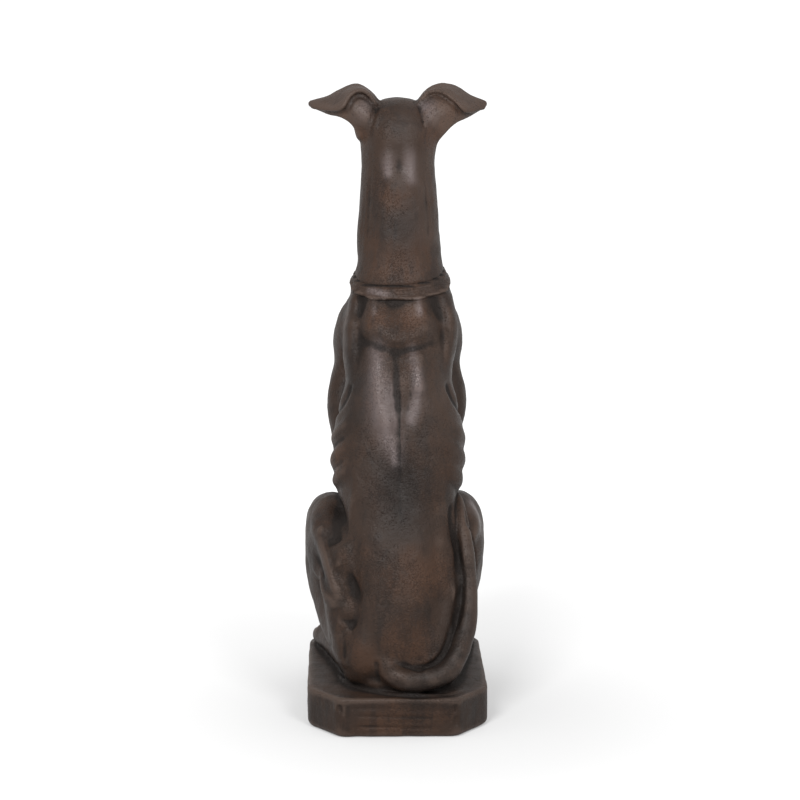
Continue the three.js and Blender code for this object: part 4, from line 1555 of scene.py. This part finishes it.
@dataclass
class Casting:
    """The whole casting: its parts in the order in which they are put on the clay."""

    step: float = 1.7
    low: Point = (-122.0, -178.0, -6.0)
    high: Point = (126.0, 232.0, 776.0)
    face_limit: int = 194000
    trunk: Trunk = field(default_factory=Trunk)
    fore_legs: ForeLegs = field(default_factory=ForeLegs)
    hind_legs: HindLegs = field(default_factory=HindLegs)
    head: Head = field(default_factory=Head)
    tail: Tail = field(default_factory=Tail)
    collar: Collar = field(default_factory=Collar)
    plinth: Plinth = field(default_factory=Plinth)
    body_swellings: Rows = ((0.7, 26, 11), (0.34, 9, 12))  # height, size and seed
    all_swellings: Rows = ((0.5, 15, 13),)
    relief_blurs: Rows = ((1, 1.0), (3, 0.15))  # cells averaged, and its share of the relief
    # the most painted shade or painted light that any point gets
    strongest_painted_shading: float = 0.8
    # x, y, z, and how far the rust reaches
    warm_spots: Rows = (
        (6, -14, 560, 56),
        (0, 8, 632, 30),
        (-98, -60, 200, 44),
        (-38, -135, 92, 26),
        (10, -130, 110, 40),
        (66, 40, 722, 34),
        (-62, 40, 722, 20),
        (-42, 40, 704, 22),
        (48, 35, 706, 34),
        (-50, 8, 480, 24),
        (-20, -30, 482, 22),
        (22, -30, 486, 26),
        (56, 10, 486, 20),
        (-72, -50, 318, 26),
        (20, -110, 190, 50),
        (0, -165, 8, 60),
        (0, -165, 2, 90),
    )
    # x, y, z, reach, and how much shade is painted there, or how much light where it is below zero
    painted_shading_spots: Rows = (
        (6, -9, 592, 26, 0.65),
        (6, -15, 556, 26, 0.25),
        (4, 2, 640, 18, 0.30),
        (42, 5, 590, 22, -0.45),
        (43, 20, 640, 22, -0.45),
        (44, 25, 672, 16, -0.40),
        (0, 22, 730, 30, 0.10),
        (-46, -30, 448, 18, 0.65),
        (-50, -43, 413, 20, 0.60),
        (-53, -62, 367, 22, 0.60),
        (54, -30, 447, 18, -0.30),
        (54, -53, 402, 20, -0.35),
        (58, -62, 360, 20, -0.20),
        (5, -63, 416, 12, -0.40),
        (4, -90, 306, 34, 0.80),
        (4, -105, 262, 34, 0.65),
        (0, -123, 208, 34, 0.25),
        (0, -140, 139, 38, 0.20),
        (-45, -134, 88, 24, 0.20),
        (-93, -68, 220, 26, 0.70),
        (-103, -47, 190, 26, 0.70),
        (-86, -91, 176, 22, 0.65),
        (-28, 34, 741, 11, 0.50),
        (-46, 30, 746, 8, 0.30),
        (-72, 56, 742, 16, 0.15),
        (34, 38, 742, 9, 0.35),
        (71, -76, 232, 9, 0.60),
        (74, -84, 200, 9, 0.60),
        (75, -94, 165, 9, 0.60),
        (89, -84, 205, 18, 0.90),
        (88, -95, 175, 18, 0.90),
        (83, -107, 148, 18, 0.90),
        (78, -120, 120, 18, 0.90),
        (68, -140, 92, 19, 0.90),
        (48, -156, 70, 19, 0.90),
        (22, -160, 66, 19, 0.90),
        (104, -20, 238, 16, -0.30),
        (50, 45, 712, 18, -0.35),
        (-44, -6, 490, 13, 0.50),
        (52, -4, 490, 13, 0.40),
        (50, -76, 300, 9, -0.40),
        (52, -90, 262, 9, -0.40),
        (52, -99, 225, 9, -0.40),
        (-62, -158, 49, 15, 0.50),
        (-22, -160, 49, 15, 0.50),
        (22, -160, 49, 15, 0.50),
        (62, -158, 49, 15, 0.50),
        (-40, -165, 26, 36, 0.25),
        (40, -165, 26, 36, 0.25),
        (-98, -145, 26, 28, 0.25),
        (98, -145, 26, 28, 0.45),
    )
    # paths of rubbed iron, smoother there and with a highlight painted into its colour: x, y, z and reach
    rubbed_and_highlit_paths: Sequence[Rows] = (
        (
            (-24, -48, 453, 10),
            (-22, -66, 415, 14),
            (-17, -75, 382, 16),
            (-8, -82, 350, 13),
            (-1, -86, 322, 7),
        ),
        ((-3, -70, 418, 7), (-3, -76, 392, 8), (-2, -82, 356, 7)),
        ((20, -52, 452, 6), (25, -66, 425, 7), (26, -72, 400, 8), (18, -78, 370, 7)),
        ((-8, 17, 686, 6), (-8, 11, 672, 8), (-9, 8, 660, 6)),
        ((18, 18, 690, 6), (18, 12, 672, 8), (20, 8, 652, 7)),
        ((-38, 36, 736, 8), (-38, 36, 730, 8)),
        ((40, 38, 736, 9), (43, 38, 726, 9)),
        ((-32, -15, 519, 4), (-12, -22, 515, 4)),
        ((-28, -30, 508, 4), (-27, -34, 496, 4)),
        ((29, -30, 508, 4), (29, -34, 494, 4)),
        ((97, -20, 255, 8), (99, -40, 225, 6)),
    )

    def model(self) -> Clay:
        """Models the casting.

        Returns:
            The finished clay.
        """
        clay = Clay(self.low, self.high, self.step)
        parts = (self.trunk, self.fore_legs, self.hind_legs, self.head)
        for part in parts:
            part.shape(clay)
            log.info("%s joined", type(part).__name__)
        self.collar.shape(clay)
        clay.soften()
        for part in parts:
            part.carve(clay)
        self.collar.carve(clay)
        self.tail.shape(clay)
        self.tail.carve(clay)
        for height, size, seed in self.body_swellings:
            clay.value += clay.unevenness(height, size, seed)
        self.plinth.shape(clay)
        self.plinth.carve(clay)
        for height, size, seed in self.all_swellings:
            clay.value += clay.unevenness(height, size, seed)
        return clay

    def mesh(self, clay: Clay) -> bpy.types.Object:
        """Makes the casting's mesh.

        Args:
            clay: the finished clay.

        Returns:
            The object, kept inside the solid's box.
        """
        points, faces = largest_skin(*clay.skin())
        mesh = bpy.data.meshes.new("greyhound_casting")
        mesh.from_pydata(points * MM, [], faces)
        piece = bpy.data.objects.new("greyhound_casting", mesh)
        bpy.context.scene.collection.objects.link(piece)
        thin = piece.modifiers.new("thin", "DECIMATE")
        thin.ratio = self.face_limit / (2 * len(faces))
        bpy.context.view_layer.update()
        light = bpy.data.meshes.new_from_object(piece.evaluated_get(bpy.context.evaluated_depsgraph_get()))
        piece.modifiers.clear()
        piece.data = light
        bpy.data.meshes.remove(mesh)
        low, high = np.array(CAD_BOX[0]), np.array(CAD_BOX[1])
        flat = np.empty(len(light.vertices) * 3, np.float32)
        light.vertices.foreach_get("co", flat)
        kept = np.clip(flat.reshape(-1, 3), low, high)
        light.vertices.foreach_set("co", kept.ravel())
        light.polygons.foreach_set("use_smooth", [True] * len(light.polygons))
        self.mark(clay, light, kept / MM)
        light.update()
        return piece

    def mark(self, clay: Clay, mesh: bpy.types.Mesh, points: np.ndarray) -> None:
        """Writes on the mesh how proud each point lies, how rusty it is, how much shade or light is painted
        on it, and how rubbed it is, with a highlight painted there.

        Args:
            clay: the finished clay.
            mesh: the mesh.
            points: its points, in millimetres.
        """
        coarse = clay.value[::2, ::2, ::2]
        relief = np.zeros(len(points))
        for cells, gain in self.relief_blurs:
            lifted = clay.blurred(coarse, cells) - coarse
            relief += gain * clay.sample(lifted, points, 2 * clay.step)
        warmth = np.zeros(len(points))
        for x, y, z, reach in self.warm_spots:
            warmth = np.maximum(warmth, np.clip(1 - distances(points, (x, y, z)) / reach, 0, 1))
        # painted shade and painted light, laid in soft spots
        painted_shading = np.zeros(len(points))
        for x, y, z, reach, amount in self.painted_shading_spots:
            painted_shading += amount * np.exp(-((distances(points, (x, y, z)) / reach) ** 2))
        painted_shading = np.clip(painted_shading, -self.strongest_painted_shading, self.strongest_painted_shading)
        # rubbed iron with a painted highlight, along soft paths
        polish_and_painted_highlight = np.zeros(len(points))
        for path in self.rubbed_and_highlit_paths:
            for x, y, z, reach in smooth_rows(path, 5):
                polish_and_painted_highlight = np.maximum(polish_and_painted_highlight, np.exp(-((distances(points, (x, y, z)) / reach) ** 2)))
        for name, values in (("relief", relief), ("warmth", warmth), ("painted_shading", painted_shading), ("polish_and_painted_highlight", polish_and_painted_highlight)):
            layer = mesh.attributes.new(name, "FLOAT", "POINT")
            layer.data.foreach_set("value", values.astype(np.float32))

    def build(self) -> bpy.types.Object:
        """Models the casting, dresses it and puts it in the solid's place.

        Returns:
            The piece.
        """
        clay = self.model()
        piece = self.mesh(clay)
        piece.data.materials.append(CastIron().make())
        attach(piece, "root")
        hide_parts("greyhound_statue")
        log.info("%s: %d faces", piece.name, len(piece.data.polygons))
        return piece


@dataclass(frozen=True)
class SoftBox:
    """A soft lamp."""

    name: str
    place: Point
    size: tuple[float, float]
    power: float

    def hang(self, aim: Point) -> None:
        """Hangs the lamp.

        Args:
            aim: the point that it faces.
        """
        lamp = bpy.data.lights.new(self.name, "AREA")
        lamp.shape = "RECTANGLE"
        lamp.size, lamp.size_y = self.size
        lamp.energy = self.power
        box = bpy.data.objects.new(self.name, lamp)
        box.location = self.place
        box.rotation_euler = (Vector(aim) - Vector(self.place)).to_track_quat("-Z", "Y").to_euler()
        bpy.context.scene.collection.objects.link(box)


@dataclass
class Studio:
    """The white floor, the soft lights and the camera."""

    camera_place: Point = (-0.0624, -3.165, 0.9276)
    camera_pitch: float = 9.8
    camera_yaw: float = -1.24
    field_of_view: float = 17.43
    sky: float = 1.0
    aim: Point = (0.0, 0.0, 0.42)
    lamps: Sequence[SoftBox] = (
        SoftBox("high_back_left", (-0.9, -2.4, 2.3), (0.9, 1.1), 92),
        SoftBox("high_back_right", (1.1, -2.3, 2.0), (0.7, 1.1), 48),
    )
    floor_size: float = 60.0
    floor_grey: tuple[float, ...] = (0.38, 0.38, 0.38, 1)
    shade_middle: Point = (0.05, -0.16, 0.0)
    shaded: tuple[float, ...] = (0.27, 0.27, 0.27, 1)
    beside_shade: tuple[float, ...] = (0.42, 0.42, 0.42, 1)
    open_floor: tuple[float, ...] = (0.75, 0.75, 0.75, 1)

    def floor(self) -> None:
        """Lays a wide white floor, whose glow is lowered round the foot of the casting as a painted shadow.
        """
        mesh = bpy.data.meshes.new("studio_floor")
        size = self.floor_size
        corners = [(-size, -size, 0), (size, -size, 0), (size, size, 0), (-size, size, 0)]
        mesh.from_pydata(corners, [], [(0, 1, 2, 3)])
        floor = bpy.data.objects.new("studio_floor", mesh)
        bpy.context.scene.collection.objects.link(floor)
        paint = Paint("white_floor")
        paint.shader.inputs["Base Color"].default_value = self.floor_grey
        paint.shader.inputs["Roughness"].default_value = 0.9
        paint.shader.inputs["Specular IOR Level"].default_value = 0.0
        where = Wire(paint, paint.node("TexCoord").outputs["Object"])
        offset = paint.node("VectorMath", {"operation": "SUBTRACT"}, n0=where, n1=self.shade_middle)
        gap = Wire(paint, offset.outputs[0])
        reach = Wire(paint, paint.node("VectorMath", {"operation": "LENGTH"}, n0=gap).outputs["Value"])
        # painted shadow: the floor's glow is lowest near the casting and rises outward
        near = paint.mix(paint.step(reach, 0.10, 0.50), self.shaded, self.beside_shade)
        glow = paint.mix(paint.step(reach, 0.35, 1.4), near, self.open_floor)
        paint.feed("Emission Color", glow)
        paint.shader.inputs["Emission Strength"].default_value = 1.0
        mesh.materials.append(paint.material)

    def camera(self) -> None:
        """Sets the camera at the photograph's angle."""
        data = bpy.data.cameras.new("camera")
        data.sensor_width = 36.0
        data.lens = 18.0 / math.tan(math.radians(self.field_of_view / 2))
        camera = bpy.data.objects.new("camera", data)
        camera.location = self.camera_place
        turns = (math.radians(90 - self.camera_pitch), 0, math.radians(self.camera_yaw))
        camera.rotation_euler = Euler(turns, "XYZ")
        bpy.context.scene.collection.objects.link(camera)
        bpy.context.scene.camera = camera

    def build(self) -> None:
        """Puts the studio round the casting."""
        scene = bpy.context.scene
        world = bpy.data.worlds.new("studio")
        world.use_nodes = True
        world.node_tree.nodes["Background"].inputs[0].default_value = (1, 1, 1, 1)
        world.node_tree.nodes["Background"].inputs[1].default_value = self.sky
        scene.world = world
        scene.view_settings.view_transform = "Standard"
        self.floor()
        for lamp in self.lamps:
            lamp.hang(self.aim)
        self.camera()


def main() -> None:
    """Builds the casting and the studio in order."""
    logging.basicConfig(level=logging.INFO, format="%(name)s: %(message)s")
    Casting().build()
    Studio().build()
    log.info("studio ready")


if __name__ == "__main__":
    main()
